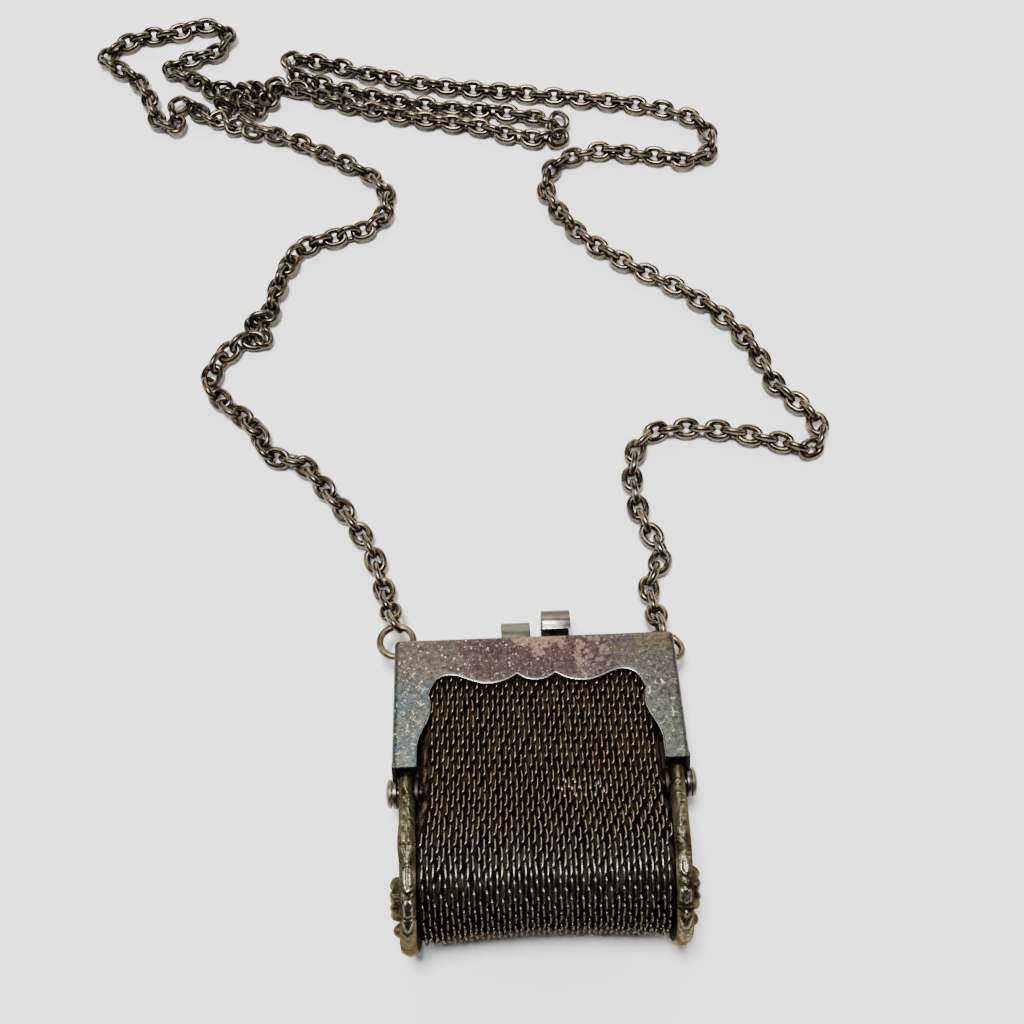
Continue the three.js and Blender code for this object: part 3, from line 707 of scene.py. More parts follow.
def rim_relief(t, w, strokes):
    """Height of a rim's ornament: t runs down from the neck, w across from -1 inside to 1 outside."""
    relief = np.zeros_like(t)
    for t0, w0, t1, w1, height in strokes:
        run = np.array([t1 - t0, (w1 - w0) * RIM_HALF])
        along = ((t - t0) * run[0] + (w - w0) * RIM_HALF * run[1]) / (run @ run + TINY)
        along = np.clip(along, 0, 1)
        far = np.hypot(t - t0 - along * run[0], (w - w0) * RIM_HALF - along * run[1])
        stroke = height * gauss(far, STROKE_WIDTH)
        relief = np.where(np.abs(stroke) > np.abs(relief), stroke, relief)
    return relief


def rosette(y, z):
    """Height of the rosette: a round boss with petals and a raised eye."""
    y = y - ROSETTE.y
    r = np.hypot(y, z)
    wave = np.cos(PETALS.count * np.arctan2(z, y))
    petals = PETALS.height * (1 - PETALS.depth + PETALS.depth * wave)
    boss = 1 - smoothstep(r, ROSETTE.radius - ROSETTE.fade, ROSETTE.radius)
    rose = ROSETTE.height * boss + petals * dome(((r - PETALS.at) / PETALS.radius) ** 2)
    return rose + ROSE_EYE.height * dome((r / ROSE_EYE.radius) ** 2)


def leaf_spray(y, z):
    """Height of the pairs of leaves that curve up from the stem."""
    leaves = np.zeros_like(y)
    for k in range(LEAVES.pairs):
        root = LEAVES.first - LEAVES.pitch * k
        reach = LEAVES.reach + LEAVES.growth * k
        for side in SIDES.values():
            u = z * side / reach
            curve = root + LEAF.rise * np.clip(u, 0, LEAF.tip) ** LEAF.curl
            inside = np.clip(np.sin(pi * np.clip(u, 0, 1)), 0, 1) ** LEAF.round
            leaf = LEAF.height * inside * gauss(y - curve, LEAF.width) * (u > 0)
            leaves = np.maximum(leaves, leaf)
    return leaves


def face_relief(y, z, d, s, length):
    """Height of the outer face over its floor: raised rim, beads, rosette, leaf spray and end bead."""
    rim = FACE_RIM.height * (1 - smoothstep(d, *FACE_RIM.fade))
    pitch = length / round(length / FACE_BEADS.pitch)
    off = (d - FACE_BEADS.inset) ** 2 + (s % pitch - pitch / 2) ** 2
    beads = FACE_BEADS.height * dome(off / FACE_BEADS.radius ** 2)
    swell = gauss(y - FACE_SWELL.y, FACE_SWELL.long) * gauss(z, FACE_SWELL.wide)
    relief = rim + beads * (y < FACE_BEADS.below) + FACE_SWELL.height * swell
    rose = relief * ROSETTE.under + rosette(y, z)
    end = END_BEAD.height * dome(((y - END_BEAD.y) ** 2 + z**2) / END_BEAD.radius ** 2)
    stem = smoothstep(-y, *STEM.start) * (1 - smoothstep(-y, *STEM.end))
    stem = relief + STEM.height * gauss(z, STEM.width) * stem
    leaves = relief * LEAVES.under + leaf_spray(y, z)
    return np.maximum.reduce([relief, rose, end, stem, leaves])


def plate_body(strokes):
    """A side plate with its inner face on X = 0 and its relief to +X, and the wear and painted highlight of
    its raised points.
    """
    outline, s, length = pear_outline()
    middle = np.clip(outline[:, 0], PLATE_BELLY[0], PLATE_NECK[0])
    spine = np.column_stack([middle, np.zeros(len(outline))])
    out = unit(outline - spine)
    reach = np.linalg.norm(outline - spine, axis=1)
    down = np.minimum(s, length - s)
    over = RIM_OVER * smoothstep(down, *RIM_OVER_FROM)
    columns, wear_and_highlight = [], []
    for f in np.linspace(0, 1, INNER_STEPS):
        inner = spine + out * (reach * f - INNER_INSET * (f == 1))[:, None]
        columns.append(np.column_stack([-over * smoothstep(f, INNER_FLARE, 1), inner]))
        wear_and_highlight.append(np.zeros(len(outline)))
    for w in np.linspace(-1, 1, RIM_STEPS):
        relief = STROKE_RISE * rim_relief(down, w, strokes) * (1 - abs(w) ** RIM_FADE)
        swell = RIM_ROUND * (1 - w**2) - RIM_SINK + relief
        x = -over + (PLATE_THICKNESS + over) * (w + 1) / 2
        columns.append(np.column_stack([x, outline + out * swell[:, None]]))
        wear_and_highlight.append(relief / FULL_WEAR_AND_HIGHLIGHT)
    for f in np.linspace(1, 0, PLATE_ACROSS)[1:]:
        spot = spine + out * (reach * f)[:, None]
        height = face_relief(*spot.T, reach * (1 - f), s, length)
        columns.append(np.column_stack([PLATE_THICKNESS - FACE_RIM.height + height, spot]))
        wear_and_highlight.append(height - FACE_WEAR_AND_HIGHLIGHT)
    grid = np.stack(columns, 1)
    faces = grid_faces(*grid.shape[:2], wrap_rows=True)
    return grid.reshape(-1, 3), faces, np.stack(wear_and_highlight, 1).ravel()


def side_plate(name, side, toe_in, body, material):
    points, faces, wear_and_highlight = body
    c, s = cos(toe_in), sin(toe_in)
    dish = PLATE_DISH * np.clip(np.abs(points[:, 2]) - PLATE_NECK[1], 0, None)
    x = (points[:, 0] - dish) * c + points[:, 1] * s + PLATE_INNER
    y = points[:, 1] * c - points[:, 0] * s
    placed = np.column_stack([x * side, y, points[:, 2] * side])
    row = purse_to_row(placed)
    row[:, 2] = np.maximum(row[:, 2], TABLE[2])
    obj = add_piece(name + "_dressed", row, faces, material, (name,))
    shine = obj.data.attributes.new(WEAR_AND_HIGHLIGHT, "FLOAT", "POINT")
    shine.data.foreach_set("value", np.clip(wear_and_highlight, 0, 1).astype(np.float32))


# Mesh bag
def bag_profile():
    """The bag's outer surface in Y and Z from the front of the mouth round the bottom to the back."""
    start, ease, settle = MESH_FLARE
    mouth_steps, flare_steps, bottom_steps = MESH_STEPS
    lower = (MESH_BELLY_Y + settle, MESH_BELLY_RADIUS)
    belly = (MESH_BELLY_Y, MESH_BELLY_RADIUS)
    front = np.linspace((MESH_MOUTH_Y, MESH_MOUTH_HALF), (start, MESH_MOUTH_HALF), mouth_steps)
    flare = bezier(front[-1], (ease, MESH_MOUTH_HALF), lower, belly, flare_steps)
    angle = np.linspace(pi / 2, pi, bottom_steps)[1:]
    bottom = np.array([MESH_BELLY_Y, 0.0]) + MESH_BELLY_RADIUS * circle(angle)
    return mirrored(np.vstack([front, flare, bottom]), FLIP_SECOND)


def bag_half_width(y, side):
    by, start, end = MESH_WIDEN
    widened = MESH_HALF[side] + by * smoothstep(-y, start, end)
    return np.minimum(widened, PLATE_INNER + y * tan(PLATE_TOE_IN[side]) - 2 * GAP)


def bag_point(x, y, z):
    """A point of the profile at X, drawn in between the side plates as the bag sags."""
    span = x / np.where(x < 0, bag_half_width(y, "left"), bag_half_width(y, "right"))
    drawn = smoothstep(-y, MESH_SAG_START, -MESH_BELLY_Y) * (1 - span**2)
    keep = 1 - drawn * MESH_SAG / MESH_BELLY_RADIUS
    below = np.minimum(y - MESH_BELLY_Y, 0)
    return np.stack([x, y + below * (keep * MESH_DROP - 1), z * keep], -1)


def oval_link(half, square, wire, steps, sides):
    """A closed wire link in the plane of its first two axes, with squarer ends the smaller square is."""
    centre = circle(around(steps))
    centre = np.array(half) * np.sign(centre) * np.abs(centre) ** square
    out = -left_of(unit(np.roll(centre, -1, 0) - np.roll(centre, 1, 0)))
    b = around(sides)
    flat = centre[:, None, :] + wire * np.cos(b)[None, :, None] * out[:, None, :]
    z = np.broadcast_to(wire * np.sin(b)[None, :, None], (steps, sides, 1))
    return np.concatenate([flat, z], -1).reshape(-1, 3), grid_faces(steps, sides, True, True)


def copies(template, axes, places):
    """Places one copy of the template for each set of axes and each place."""
    points, faces = template
    placed = np.einsum("vk,nkd->nvd", points, axes) + places[:, None, :]
    offsets = (np.arange(len(places)) * len(points))[:, None, None]
    return placed.reshape(-1, 3), (np.array(faces) + offsets).reshape(-1, 4).tolist()


def mesh_links():
    """Axes and places of every link of the mesh in the purse's axes, with the arc length of its row."""
    profile = bag_profile()
    steps = arc_lengths(profile)
    along = unit(np.gradient(profile, axis=0))
    right = np.array([1.0, 0.0, 0.0])
    axes, places, lengths = [], [], []
    for k, s in enumerate(np.arange(MESH_ROW_ENDS[0], steps[-1] - MESH_ROW_ENDS[1], LINK_ROW)):
        y, z = sample(profile, steps, s)
        down = unit(sample(along, steps, s))
        left_edge, right_edge = (bag_half_width(y, label) for label in SIDES)
        spread = (left_edge + right_edge) / sum(MESH_HALF.values())
        x = np.arange(-LINK_COLUMNS + (k % 2) / 2, LINK_COLUMNS + 1) * LINK_COLUMN * spread
        x = x[(x > LINK_EDGE - left_edge) & (x < right_edge - LINK_EDGE)]
        n = len(x)
        place = bag_point(x, np.full(n, y), np.full(n, z))
        out = np.array([0.0, down[1], -down[0]])
        settle = 1 - smoothstep(-y, *LINK_FLATTEN) - LINK_UPTURN * smoothstep(-y, *LINK_TURN_OVER)
        pitch = (LINK_PITCH * settle + RNG.normal(0, LINK_JITTER, n))[:, None]
        lean = (LINK_LEAN + RNG.normal(0, 2 * LINK_JITTER, n))[:, None]
        yaw = (LINK_YAW + RNG.normal(0, LINK_JITTER, n))[:, None]
        front = unit(np.array([0.0, *down]) * np.cos(yaw) - right * np.sin(yaw))
        a = front * np.cos(pitch) + out * np.sin(pitch)
        lifted = out * np.cos(pitch) - front * np.sin(pitch)
        b = unit(lifted * np.cos(lean) + right * np.sin(lean))
        b = unit(b - a * np.sum(a * b, 1, keepdims=True))
        axes.append(np.stack([a, b, np.cross(a, b)], 1))
        places.append(place - out * LINK_DEPTH + RNG.normal(0, LINK_STRAY, (n, 3)))
        lengths.append(np.full(n, s))
    return np.concatenate(axes), np.concatenate(places), np.concatenate(lengths), steps[-1]


def mesh_shade_core(material):
    """A near-black sheet round the bag under its raised links, in place of the mesh's dense lower layer; its
    darkness is painted shade.
    """
    profile = bag_profile()
    y, z = (profile + left_of(unit(np.gradient(profile, axis=0))) * CORE_DEPTH).T
    left, right = (bag_half_width(profile[:, 0], label) - CORE_EDGE for label in SIDES)
    grid = [bag_point(-left + (left + right) * t, y, z) for t in np.linspace(0, 1, CORE_SPANS)]
    wall = np.array([1.0, 1.0, 0.0])
    grid = np.stack([grid[0] * wall, *grid, grid[-1] * wall], 1)
    faces = grid_faces(*grid.shape[:2])
    add_piece("mesh_shade_core", purse_to_row(grid), faces, material, ("mesh_body",))


def gusset(label, material):
    """The folded side of the bag, from the edge of the mesh to the frame's leg and the side plate, coloured
    dark brown as painted shade.
    """
    y = np.linspace(*GUSSET_SPAN, GUSSET_ROWS)
    inner = bag_half_width(y, label) - CORE_EDGE
    plate = PLATE_INNER + y * tan(PLATE_TOE_IN[label]) - GUSSET_GAP
    lug_face = BACK_LUG - SHEET - GUSSET_GAP
    leg = LEG_HALF - SHEET - GUSSET_GAP
    outer = np.where(y < -LUG_RADIUS, plate, np.where(y < LEG_END + BACK_STRIP + GAP, lug_face, leg))
    columns = []
    for t in np.linspace(0, 1, GUSSET_COLUMNS):
        x = (inner + (outer - inner) * t) * SIDES[label]
        ripple = np.sin(y * GUSSET_RIPPLE.along + GUSSET_RIPPLE.across * t)
        fold = GUSSET_FOLD * sin(pi * t) + GUSSET_RIPPLE.height * ripple
        columns.append(np.stack([x, y, -fold], -1))
    grid = np.stack(columns, 1)
    faces = grid_faces(*grid.shape[:2])
    add_piece("gusset_" + label, purse_to_row(grid), faces, material)


def mesh_bag(material):
    """Every link of the mesh, each with its lower end turned up a little."""
    axes, places, lengths, whole = mesh_links()
    points, faces = oval_link(LINK_HALF, LINK_SQUARE, LINK_WIRE, LINK_STEPS, LINK_SIDES)
    points[:, 2] += LINK_HOOK * np.clip(points[:, 0] / LINK_HALF[0], 0, None) ** LINK_HOOK_FADE
    front = lengths < whole / 2
    for label, chosen in (("front", front), ("back", ~front)):
        placed, quads = copies((points, faces), axes[chosen], places[chosen])
        add_piece("mesh_" + label, purse_to_row(placed), quads, material, crease=NO_CREASE)


def mesh_pucker(material):
    """A few loops of the mesh that stand up and catch the light, coloured paler as a painted highlight."""
    profile = bag_profile()
    half = profile[: len(profile) // 2]
    order = np.argsort(half[:, 0])
    spots = np.array(PUCKER)
    z = np.interp(spots[:, 1], half[order, 0], half[order, 1])
    places = bag_point(spots[:, 0], spots[:, 1], z) - np.array([0.0, 0.0, PUCKER_DEPTH])
    turn = PUCKER_PITCH + RNG.normal(0, PUCKER_JITTER, len(spots))
    zero = np.zeros(len(spots))
    a = np.stack([zero, -np.cos(turn), np.sin(turn)], -1)
    b = np.stack([zero, np.sin(turn), np.cos(turn)], -1)
    axes = np.stack([a, b, np.cross(a, b)], 1)
    loop = oval_link(PUCKER_HALF, LINK_SQUARE, PUCKER_WIRE, LINK_STEPS, LINK_SIDES)
    points, faces = copies(loop, axes, places)
    add_piece("mesh_pucker", purse_to_row(points), faces, material, crease=NO_CREASE)


# Jump rings and neck chain
def jump_ring_pose(label):
    """Centre and two axes of a ring through both holes of a corner, in the purse's axes."""
    side, fit = SIDES[label], RING_FIT[label]
    top = np.array([side * fit.top_hole_x, FRAME_TOP - SHEET / 2, RING_LIFT])
    flank = np.array([side * (LEG_HALF - SHEET / 2), fit.side_hole_y, RING_LIFT])
    chord = top - flank
    outward = unit(np.array([side * chord[1], abs(chord[0]), 0.0]))
    offset = sqrt(RING_RADIUS**2 - chord @ chord / 4)
    turned = np.array(Matrix.Rotation(fit.turn, 3, Vector(chord)) @ Vector(outward))
    return (top + flank) / 2 + turned * offset, unit(chord), turned


def jump_ring(label, material):
    centre, along, outward = jump_ring_pose(label)
    radius = RING_RADIUS + RING_WIRE - RING_THICK
    template = oval_link((radius, radius), 1.0, RING_THICK, RING_STEPS, RING_SIDES)
    axes = np.stack([along, outward, np.cross(along, outward)])[None]
    points, faces = copies(template, axes, centre[None])
    name = "ring_" + label
    add_piece(name + "_dressed", purse_to_row(points), faces, material, (name,))


def ring_hook(label):
    """The point of a ring's wire that is farthest up the table, where the end link hooks in."""
    centre, along, outward = jump_ring_pose(label)
    turn = circle(np.linspace(0, 2 * pi, RING_FINE_STEPS))
    row = purse_to_row(centre + RING_RADIUS * (turn @ np.stack([along, outward])))
    return row[np.argmax(row[:, 1])]


def heap_nearness(points, heap):
    """One at the middle of a heap of the chain, falling to nothing round it."""
    far = np.linalg.norm(points[:, :2] - TABLE[:2] - np.array(heap.at), axis=1)
    return gauss(far, heap.reach)


def bunched(line):
    """The line swung from side to side where the chain lies heaped on itself."""
    steps = arc_lengths(line)
    side = unit(np.cross(np.gradient(line, axis=0), UP))
    swing = np.zeros(len(line))
    for heap in HEAPS:
        wave = np.sin(2 * pi * steps / heap.wave)
        swing += heap.swing * heap_nearness(line, heap) * wave
    return line + side * swing[:, None]


def route_points(route):
    p = np.array([(x, y, z[0] if z else CHAIN_LIFT) for x, y, *z in route], float)
    return bunched(catmull(p, ROUTE_STEPS) + TABLE)


def chain_line():
    """The whole chain's line from the left ring to the right one, and the length of its left half."""
    left = np.vstack([ring_hook("left"), route_points(LEFT_ROUTE)])
    right = np.vstack([ring_hook("right"), route_points(RIGHT_ROUTE)])[::-1]
    return np.vstack([left, right]), arc_lengths(left)[-1]


def link_rolls(s, place, along, upright):
    """How far each link is rolled about the chain's line: every second one stands, and some lean."""
    roll = -CHAIN_LEAN * along[:, 0] - upright * pi / 2 + RNG.normal(0, CHAIN_JITTER, len(s))
    flat_turn, upright_turn = CHAIN_TWIST.turn
    turn = np.where(upright, upright_turn, flat_turn)
    roll += turn * gauss(s - CHAIN_TWIST.at, CHAIN_TWIST.reach)
    for heap in HEAPS:
        roll += upright * HEAP_TURN * heap_nearness(place, heap)
    return roll[:, None]


def chain(material):
    """Every link of the chain along its line, the first and last standing upright in the rings."""
    line, left_length = chain_line()
    steps = arc_lengths(line)
    hook = CHAIN_LENGTH / 2 - 2 * CHAIN_WIRE - RING_WIRE
    count = 2 * int(round((steps[-1] - 2 * hook) / CHAIN_PITCH / 2)) + 1
    s = np.linspace(hook, steps[-1] - hook, count)
    place = sample(line, steps, s)
    aim = CHAIN_PITCH * CHAIN_AIM
    along = unit(sample(line, steps, s + aim) - sample(line, steps, s - aim))
    flat = unit(np.cross(along, UP))
    roll = link_rolls(s, place, along, 1 - np.arange(count) % 2)
    wide = flat * np.cos(roll) + np.cross(flat, along) * np.sin(roll)
    half = (CHAIN_LENGTH / 2 - CHAIN_WIRE, CHAIN_WIDTH / 2 - CHAIN_WIRE)
    touch = CHAIN_WIRE + np.hypot(half[0] * along[:, 2], half[1] * wide[:, 2])
    beside = (np.roll(touch, 1) + np.roll(touch, -1)) / 2
    place[:, 2] += np.maximum(touch, touch + CHAIN_SETTLE * (beside - touch)) - CHAIN_LIFT
    place[:, 2] = np.maximum(place[:, 2], TABLE[2] + touch)
    axes = np.stack([along, wide, np.cross(along, wide)], 1)
    is_left = s < left_length
    link = oval_link(half, CHAIN_SQUARE, CHAIN_WIRE, CHAIN_STEPS, CHAIN_SIDES)
    for name, chosen in (("chain_left", is_left), ("chain_right", ~is_left)):
        points, faces = copies(link, axes[chosen], place[chosen])
        add_piece(name + "_links", points, faces, material, (name,), NO_CREASE)


# Materials
class Look:
    """A material built from nodes, a metal unless told otherwise."""

    def __init__(self, name):
        self.material = bpy.data.materials.new(name)
        self.material.use_nodes = True
        self.tree = self.material.node_tree
        self.shader = self.tree.nodes["Principled BSDF"]
        coords = self.add("ShaderNodeTexCoord").outputs["Object"]
        scale = (1 / MM, 1 / MM, 1 / MM)
        mapping = self.add("ShaderNodeMapping", Vector=coords, Scale=scale, Location=tuple(-HINGE))
        self.place = mapping.outputs["Vector"]

    def plug(self, socket, value):
        """Links another node to a socket, or sets it to a number, a vector or a colour."""
        if isinstance(value, bpy.types.NodeSocket):
            self.tree.links.new(value, socket)
        else:
            socket.default_value = (*value, 1.0) if socket.type == "RGBA" else value

    def feed(self, node, inputs):
        for key, value in inputs.items():
            self.plug(node.inputs[key.replace("_", " ")], value)

    def add(self, kind, **inputs):
        node = self.tree.nodes.new(kind)
        self.feed(node, inputs)
        return node

    def finish(self, **inputs):
        """Feeds the shader and gives the material."""
        self.feed(self.shader, {"Metallic": 1.0, **inputs})
        return self.material

    def noise(self, scale, detail=3.0, rough=0.55, place=None):
        place = self.place if place is None else place
        node = self.add("ShaderNodeTexNoise", Vector=place, Scale=scale, Detail=detail, Roughness=rough)
        return node.outputs["Fac"]

    def streaks(self, scale, stretch):
        """Noise drawn out along the purse."""
        mapping = self.add("ShaderNodeMapping", Vector=self.place, Scale=(1.0, stretch, stretch))
        return self.noise(scale, 2.0, 0.5, mapping.outputs["Vector"])

    def cells(self, scale, feature="F1"):
        node = self.add("ShaderNodeTexVoronoi", Vector=self.place, Scale=scale)
        node.feature = feature
        return node.outputs["Distance"]

    def attribute(self, name):
        node = self.add("ShaderNodeAttribute")
        node.attribute_name = name
        return node.outputs["Fac"]

    def axis(self, name):
        return self.add("ShaderNodeSeparateXYZ", Vector=self.place).outputs[name]

    def span(self, value, low, high, to_low=0.0, to_high=1.0):
        """A value eased from one range to another."""
        ends = {"From_Min": low, "From_Max": high, "To_Min": to_low, "To_Max": to_high}
        node = self.add("ShaderNodeMapRange", Value=value, **ends)
        node.interpolation_type = "SMOOTHSTEP"
        return node.outputs["Result"]

    def between(self, value, low, high):
        """One where a value lies between two limits, with a narrow edge."""
        rise = self.span(value, low, low + PATCH_EDGE)
        return self.times(rise, self.span(value, high, high - PATCH_EDGE))

    def maths(self, operation, a, b):
        node = self.add("ShaderNodeMath")
        node.operation = operation
        self.plug(node.inputs[0], a)
        self.plug(node.inputs[1], b)
        return node.outputs["Value"]

    def times(self, a, b):
        return self.maths("MULTIPLY", a, b)

    def sum(self, a, b):
        return self.maths("ADD", a, b)

    def stray(self, value, noise, reach):
        """A place moved to and fro by a noise, by as much as reach."""
        return self.sum(value, self.span(noise, *WHOLE, -reach, reach))

    def drift(self, low, high, scale, detail=3.0):
        """A value that drifts from place to place between low and high."""
        return self.span(self.noise(scale, detail), *WIDE, low, high)

    def mix(self, factor, a, b):
        """A colour between two others."""
        node = self.add("ShaderNodeMix")
        node.data_type = "RGBA"
        self.plug(node.inputs["Factor"], factor)
        for key, value in zip(MIX_SOCKETS, (a, b)):
            self.plug(node.inputs[key], value)
        return node.outputs[MIX_RESULT]

    def bump(self, value, distance):
        node = self.add("ShaderNodeBump", Height=value, Distance=distance * MM, Strength=1.0)
        return node.outputs["Normal"]


def tarnish_and_painted_reflection(look, x, y, tones):
    """Blue-grey legs, with the dun, purple, slate and olive zones of the band over them, and a painted dark
    reflection down the left flank.
    """
    wobble = look.noise(0.25, 4.0, 0.6)
    across = look.stray(x, wobble, ZONE_STRAY.across)
    up = look.stray(y, wobble, ZONE_STRAY.up)
    base = look.mix(look.span(look.noise(0.22, 2.0), 0.42, 0.6), tones["grey"], tones["blue"])
    for zone in TARNISH_ZONES:
        where = look.span(up, *zone.up)
        if zone.across:
            where = look.times(where, look.span(across, *zone.across))
        base = look.mix(where, base, tones[zone.tone])
    # Painted reflection: the outer edge of the left leg turned dark green-grey.
    return look.mix(look.span(x, *FLANK_PAINTED_REFLECTION.x, 0.0, FLANK_PAINTED_REFLECTION.share), base, FLANK_PAINTED_REFLECTION.tone)


def bare_patches(look, x, y, base, bare):
    """Torn patches where the front band has lost its patina, the last of them in round cells."""
    ragged = look.noise(0.9, 5.0, 0.65)
    torn_x = look.stray(x, ragged, PATCH_STRAY)
    torn_y = look.stray(y, ragged, -PATCH_STRAY)
    front = look.span(look.axis("Z"), *PATCH_FRONT)

    def patch(left, right, low, high):
        inside = look.times(look.between(torn_x, left, right), look.between(torn_y, low, high))
        return look.times(inside, front)

    for edges in BARE_PATCHES:
        base = look.mix(patch(*edges), base, bare)
    blobs = look.span(look.cells(0.8), 0.44, 0.36)
    return look.mix(look.times(patch(*CELL_PATCH), blobs), base, CELL_TONE)


def flecks_and_cracks(look, x, y, base):
    """Pale flecks, fewer towards the right, and thin pale cracks in the legs."""
    broken = look.span(look.noise(3.4, 2.0), 0.38, 0.56)
    where = look.times(broken, look.span(x, *FLECK_FADE.x, *FLECK_FADE.share))
    for size, spread in FLECKS:
        clouds = look.span(look.noise(spread, 3.0), 0.45, 0.58)
        flecks = look.times(look.span(look.cells(size), 0.27, 0.14), clouds)
        base = look.mix(look.times(flecks, where), base, FLECK_TONE)
    lines = look.span(look.cells(0.4, "DISTANCE_TO_EDGE"), 0.035, 0.0)
    cracks = look.times(lines, look.span(look.noise(0.7, 3.0), 0.52, 0.6))
    return look.mix(look.times(cracks, look.span(y, *CRACK_FADE)), base, CRACK_TONE)


def frame_metal():
    look = Look("frame_metal")
    x, y = look.axis("X"), look.axis("Y")
    mottle = look.span(look.sum(look.noise(6.0, 3.0, 0.7), look.noise(1.6, 3.0)), 0.82, 1.18)
    tones = {name: look.mix(mottle, *pair) for name, pair in TARNISH.items()}
    base = tarnish_and_painted_reflection(look, x, y, tones)
    base = bare_patches(look, x, y, base, tones["bare"])
    base = flecks_and_cracks(look, x, y, base)
    stain = look.span(look.noise(2.2, 6.0, 0.75), 0.5, 0.72, 0.0, 0.5)
    normal = look.bump(look.noise(3.2, 4.0, 0.6), FRAME_PITS)
    colour = look.mix(stain, base, FRAME_STAIN)
    return look.finish(Base_Color=colour, Roughness=look.drift(0.3, 0.48, 1.2, 4.0), Normal=normal)


def tab_metal():
    look = Look("tab_metal")
    return look.finish(Base_Color=look.mix(look.noise(1.1, 4.0), *TAB_TONES), Roughness=0.32)


def steel_metal():
    look = Look("steel_metal")
    steel = look.mix(look.span(look.noise(0.8, 4.0), *SOFT), *STEEL_TONES)
    # Painted reflection: brown towards the top of the roll.
    colour = look.mix(look.span(look.axis("Y"), *STEEL_PAINTED_REFLECTION.y), steel, STEEL_PAINTED_REFLECTION.tone)
    return look.finish(Base_Color=colour, Roughness=0.28)


def painted_shade_metal():
    look = Look("painted_shade_metal")
    return look.finish(Base_Color=look.mix(look.noise(0.9, 4.0), *PAINTED_SHADE_TONES), Roughness=0.5)


def rivet_metal():
    look = Look("rivet_metal")
    x = look.axis("X")
    # The tail inside the plates is near-black painted shade; the head outside is warm metal.
    outside = look.span(look.times(x, x), PLATE_INNER**2, LEG_HALF**2)
    warm = look.mix(look.noise(0.9, 4.0), *RIVET_TONES)
    return look.finish(Base_Color=look.mix(outside, PAINTED_SHADE_TONES[0], warm), Roughness=0.42)


def edge_metal():
    look = Look("edge_metal")
    return look.finish(Base_Color=look.mix(look.noise(0.6), *EDGE_TONES), Roughness=0.25)


def cast_metal():
    look = Look("cast_metal")
    base = look.mix(look.span(look.noise(0.45, 4.0, 0.6), *SOFT), *CAST_TONES)
    patchy = look.span(look.noise(1.8), 0.36, 0.6)
    # Paler where the relief stands up: partly wear, partly a painted highlight.
    wear_and_highlight = look.times(look.span(look.attribute(WEAR_AND_HIGHLIGHT), 0.35, 1.0), patchy)
    return look.finish(
        Base_Color=look.mix(wear_and_highlight, base, CAST_WEAR_AND_HIGHLIGHT),
        Roughness=look.drift(0.24, 0.38, 1.4),
        Normal=look.bump(look.noise(2.6), CAST_PITS),
        Specular_Tint=CAST_TINT,
    )


def mesh_metal():
    look = Look("mesh_metal")
    y = look.axis("Y")
    colour = look.mix(look.noise(0.35), *MESH_TONES)
    # Painted highlight on the crest and painted shade under the belly.
    for high, low, tone in MESH_PAINTED_LIGHT_ZONES:
        colour = look.mix(look.span(y, high, low), colour, tone)
    rough = look.drift(0.24, 0.4, 1.3)
    return look.finish(Base_Color=colour, Roughness=rough, Specular_Tint=MESH_TINT)


def pucker_painted_highlight():
    look = Look("pucker_painted_highlight")
    return look.finish(Base_Color=look.mix(look.noise(0.9), *PUCKER_PAINTED_HIGHLIGHT), Roughness=0.3)


def core_painted_shade():
    look = Look("core_painted_shade")
    colour = look.mix(look.span(look.streaks(1.7, 0.2), 0.46, 0.66), *CORE_PAINTED_SHADE)
    return look.finish(Base_Color=colour, Roughness=0.7, Specular_Tint=CORE_TINT)


def gusset_painted_shade():
    look = Look("gusset_painted_shade")
    colour = look.mix(look.noise(1.8, 4.0), *GUSSET_PAINTED_SHADE)
    return look.finish(Base_Color=colour, Roughness=0.5, Normal=look.bump(look.noise(2.2), GUSSET_PITS))


def chain_metal():
    look = Look("chain_metal")
    metal = look.mix(look.span(look.noise(0.3, 4.0, 0.6), *SOFT), *CHAIN_TONES)
    dark = look.span(look.axis("X"), *CHAIN_DARK.x, 0.0, CHAIN_DARK.share)
    return look.finish(
        Base_Color=look.mix(dark, metal, CHAIN_DARK.tone),
        Roughness=look.drift(0.2, 0.34, 0.5, 2.0),
        Coat_Weight=0.28,
        Coat_Roughness=0.14,
    )


def ring_metal():
    look = Look("ring_metal")
    colour = look.mix(look.noise(0.5), *RING_TONES)
    return look.finish(Base_Color=colour, Roughness=look.drift(0.28, 0.45, 1.1))


# Stage, light and camera
def floor():
    mesh = bpy.data.meshes.new("floor")
    corners = [(-1, -1), (1, -1), (1, 1), (-1, 1)]
    mesh.from_pydata([(x * FLOOR_HALF, y * FLOOR_HALF, 0) for x, y in corners], [], [(0, 1, 2, 3)])
    look = Look("pale_floor")
    mesh.materials.append(look.finish(Metallic=0.0, Base_Color=FLOOR_TONE, Roughness=FLOOR_ROUGH))
    obj = add_object("floor", mesh)


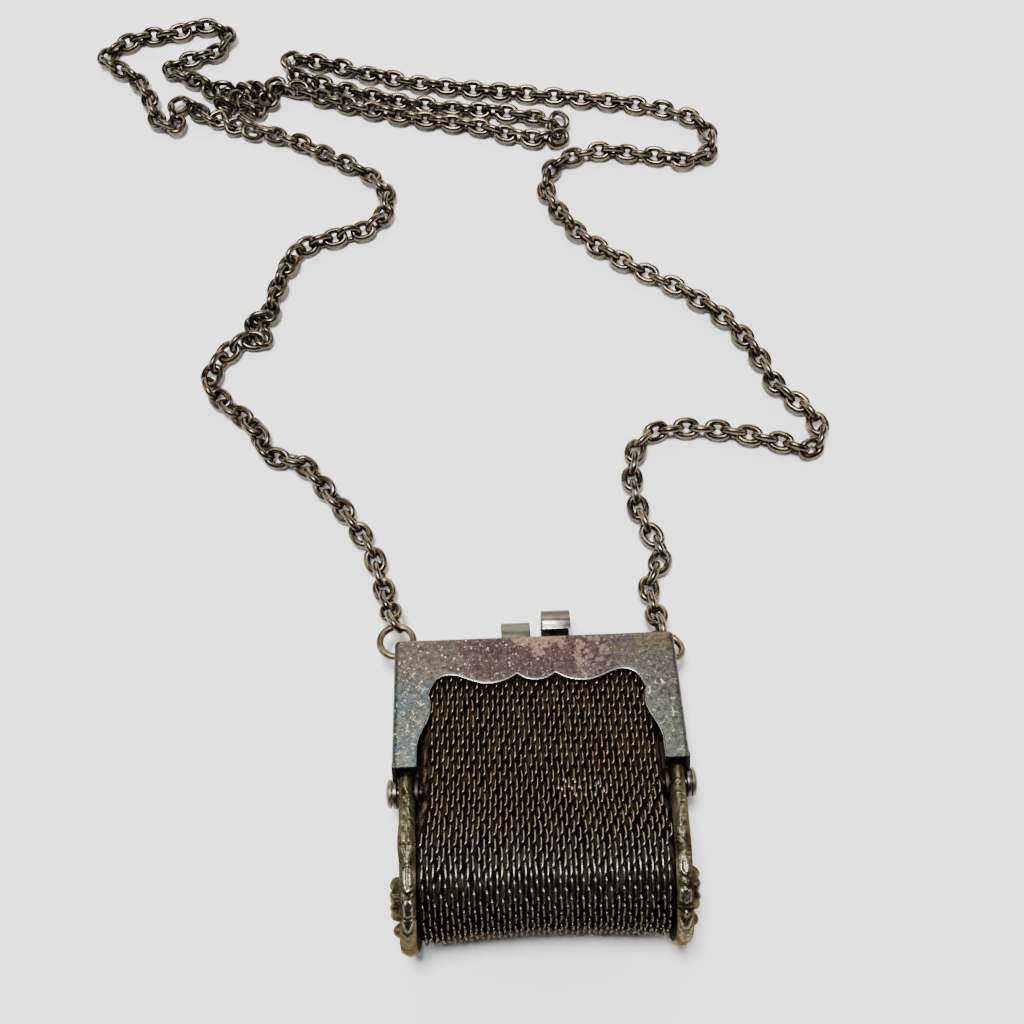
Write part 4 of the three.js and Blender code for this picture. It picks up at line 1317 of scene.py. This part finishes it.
def area_light(spec):
    light = bpy.data.lights.new(spec.name, "AREA")
    light.shape = "DISK"
    light.size = spec.size
    light.energy = spec.power
    light.color = spec.tone
    obj = add_object(spec.name, light)
    obj.location = spec.at
    aim = Vector(LIGHT_TARGET) - Vector(spec.at)
    obj.rotation_euler = aim.to_track_quat("-Z", "Y").to_euler()


def lights():
    for spec in LIGHTS:
        area_light(spec)
    world = bpy.data.worlds.new("studio")
    bpy.context.scene.world = world
    world.use_nodes = True
    background = world.node_tree.nodes["Background"]
    background.inputs["Color"].default_value = SKY_TONE
    background.inputs["Strength"].default_value = SKY_STRENGTH


def camera():
    data = bpy.data.cameras.new("camera")
    data.sensor_width = SENSOR
    data.lens = LENS
    data.clip_start = CAMERA_NEAR
    obj = add_object("camera", data)
    right = Vector(CAMERA_RIGHT).normalized()
    back = -Vector(CAMERA_VIEW).normalized()
    up = back.cross(right).normalized()
    turn = Matrix((right, up, back)).transposed().to_4x4()
    place = Vector((np.array(CAMERA_AT) + TABLE) * MM)
    obj.matrix_world = Matrix.Translation(place) @ turn
    bpy.context.scene.camera = obj


def build():
    sheet, edge, steel, brass_tab = frame_metal(), edge_metal(), steel_metal(), tab_metal()
    front = {"sheet": sheet, "edge": edge, "tab": brass_tab, "lugs": brass_tab}
    back = {"sheet": sheet, "edge": edge, "tab": steel, "lugs": painted_shade_metal()}
    frame_half("front", SHORT_TAB, LEG_HALF, FRONT_STRIP, False, front)
    frame_half("back", TALL_TAB, BACK_LUG, BACK_STRIP, True, back)
    cast, rivets, rings = cast_metal(), rivet_metal(), ring_metal()
    for label, side in SIDES.items():
        rivet("rivet_" + label, side, rivets)
        body = plate_body(RIM_STROKES[label])
        side_plate("side_plate_" + label, side, PLATE_TOE_IN[label], body, cast)
        jump_ring(label, rings)
    mesh_shade_core(core_painted_shade())
    side_fold_shade = gusset_painted_shade()
    for label in SIDES:
        gusset(label, side_fold_shade)
    mesh_bag(mesh_metal())
    mesh_pucker(pucker_painted_highlight())
    chain(chain_metal())


build()
floor()
lights()
camera()
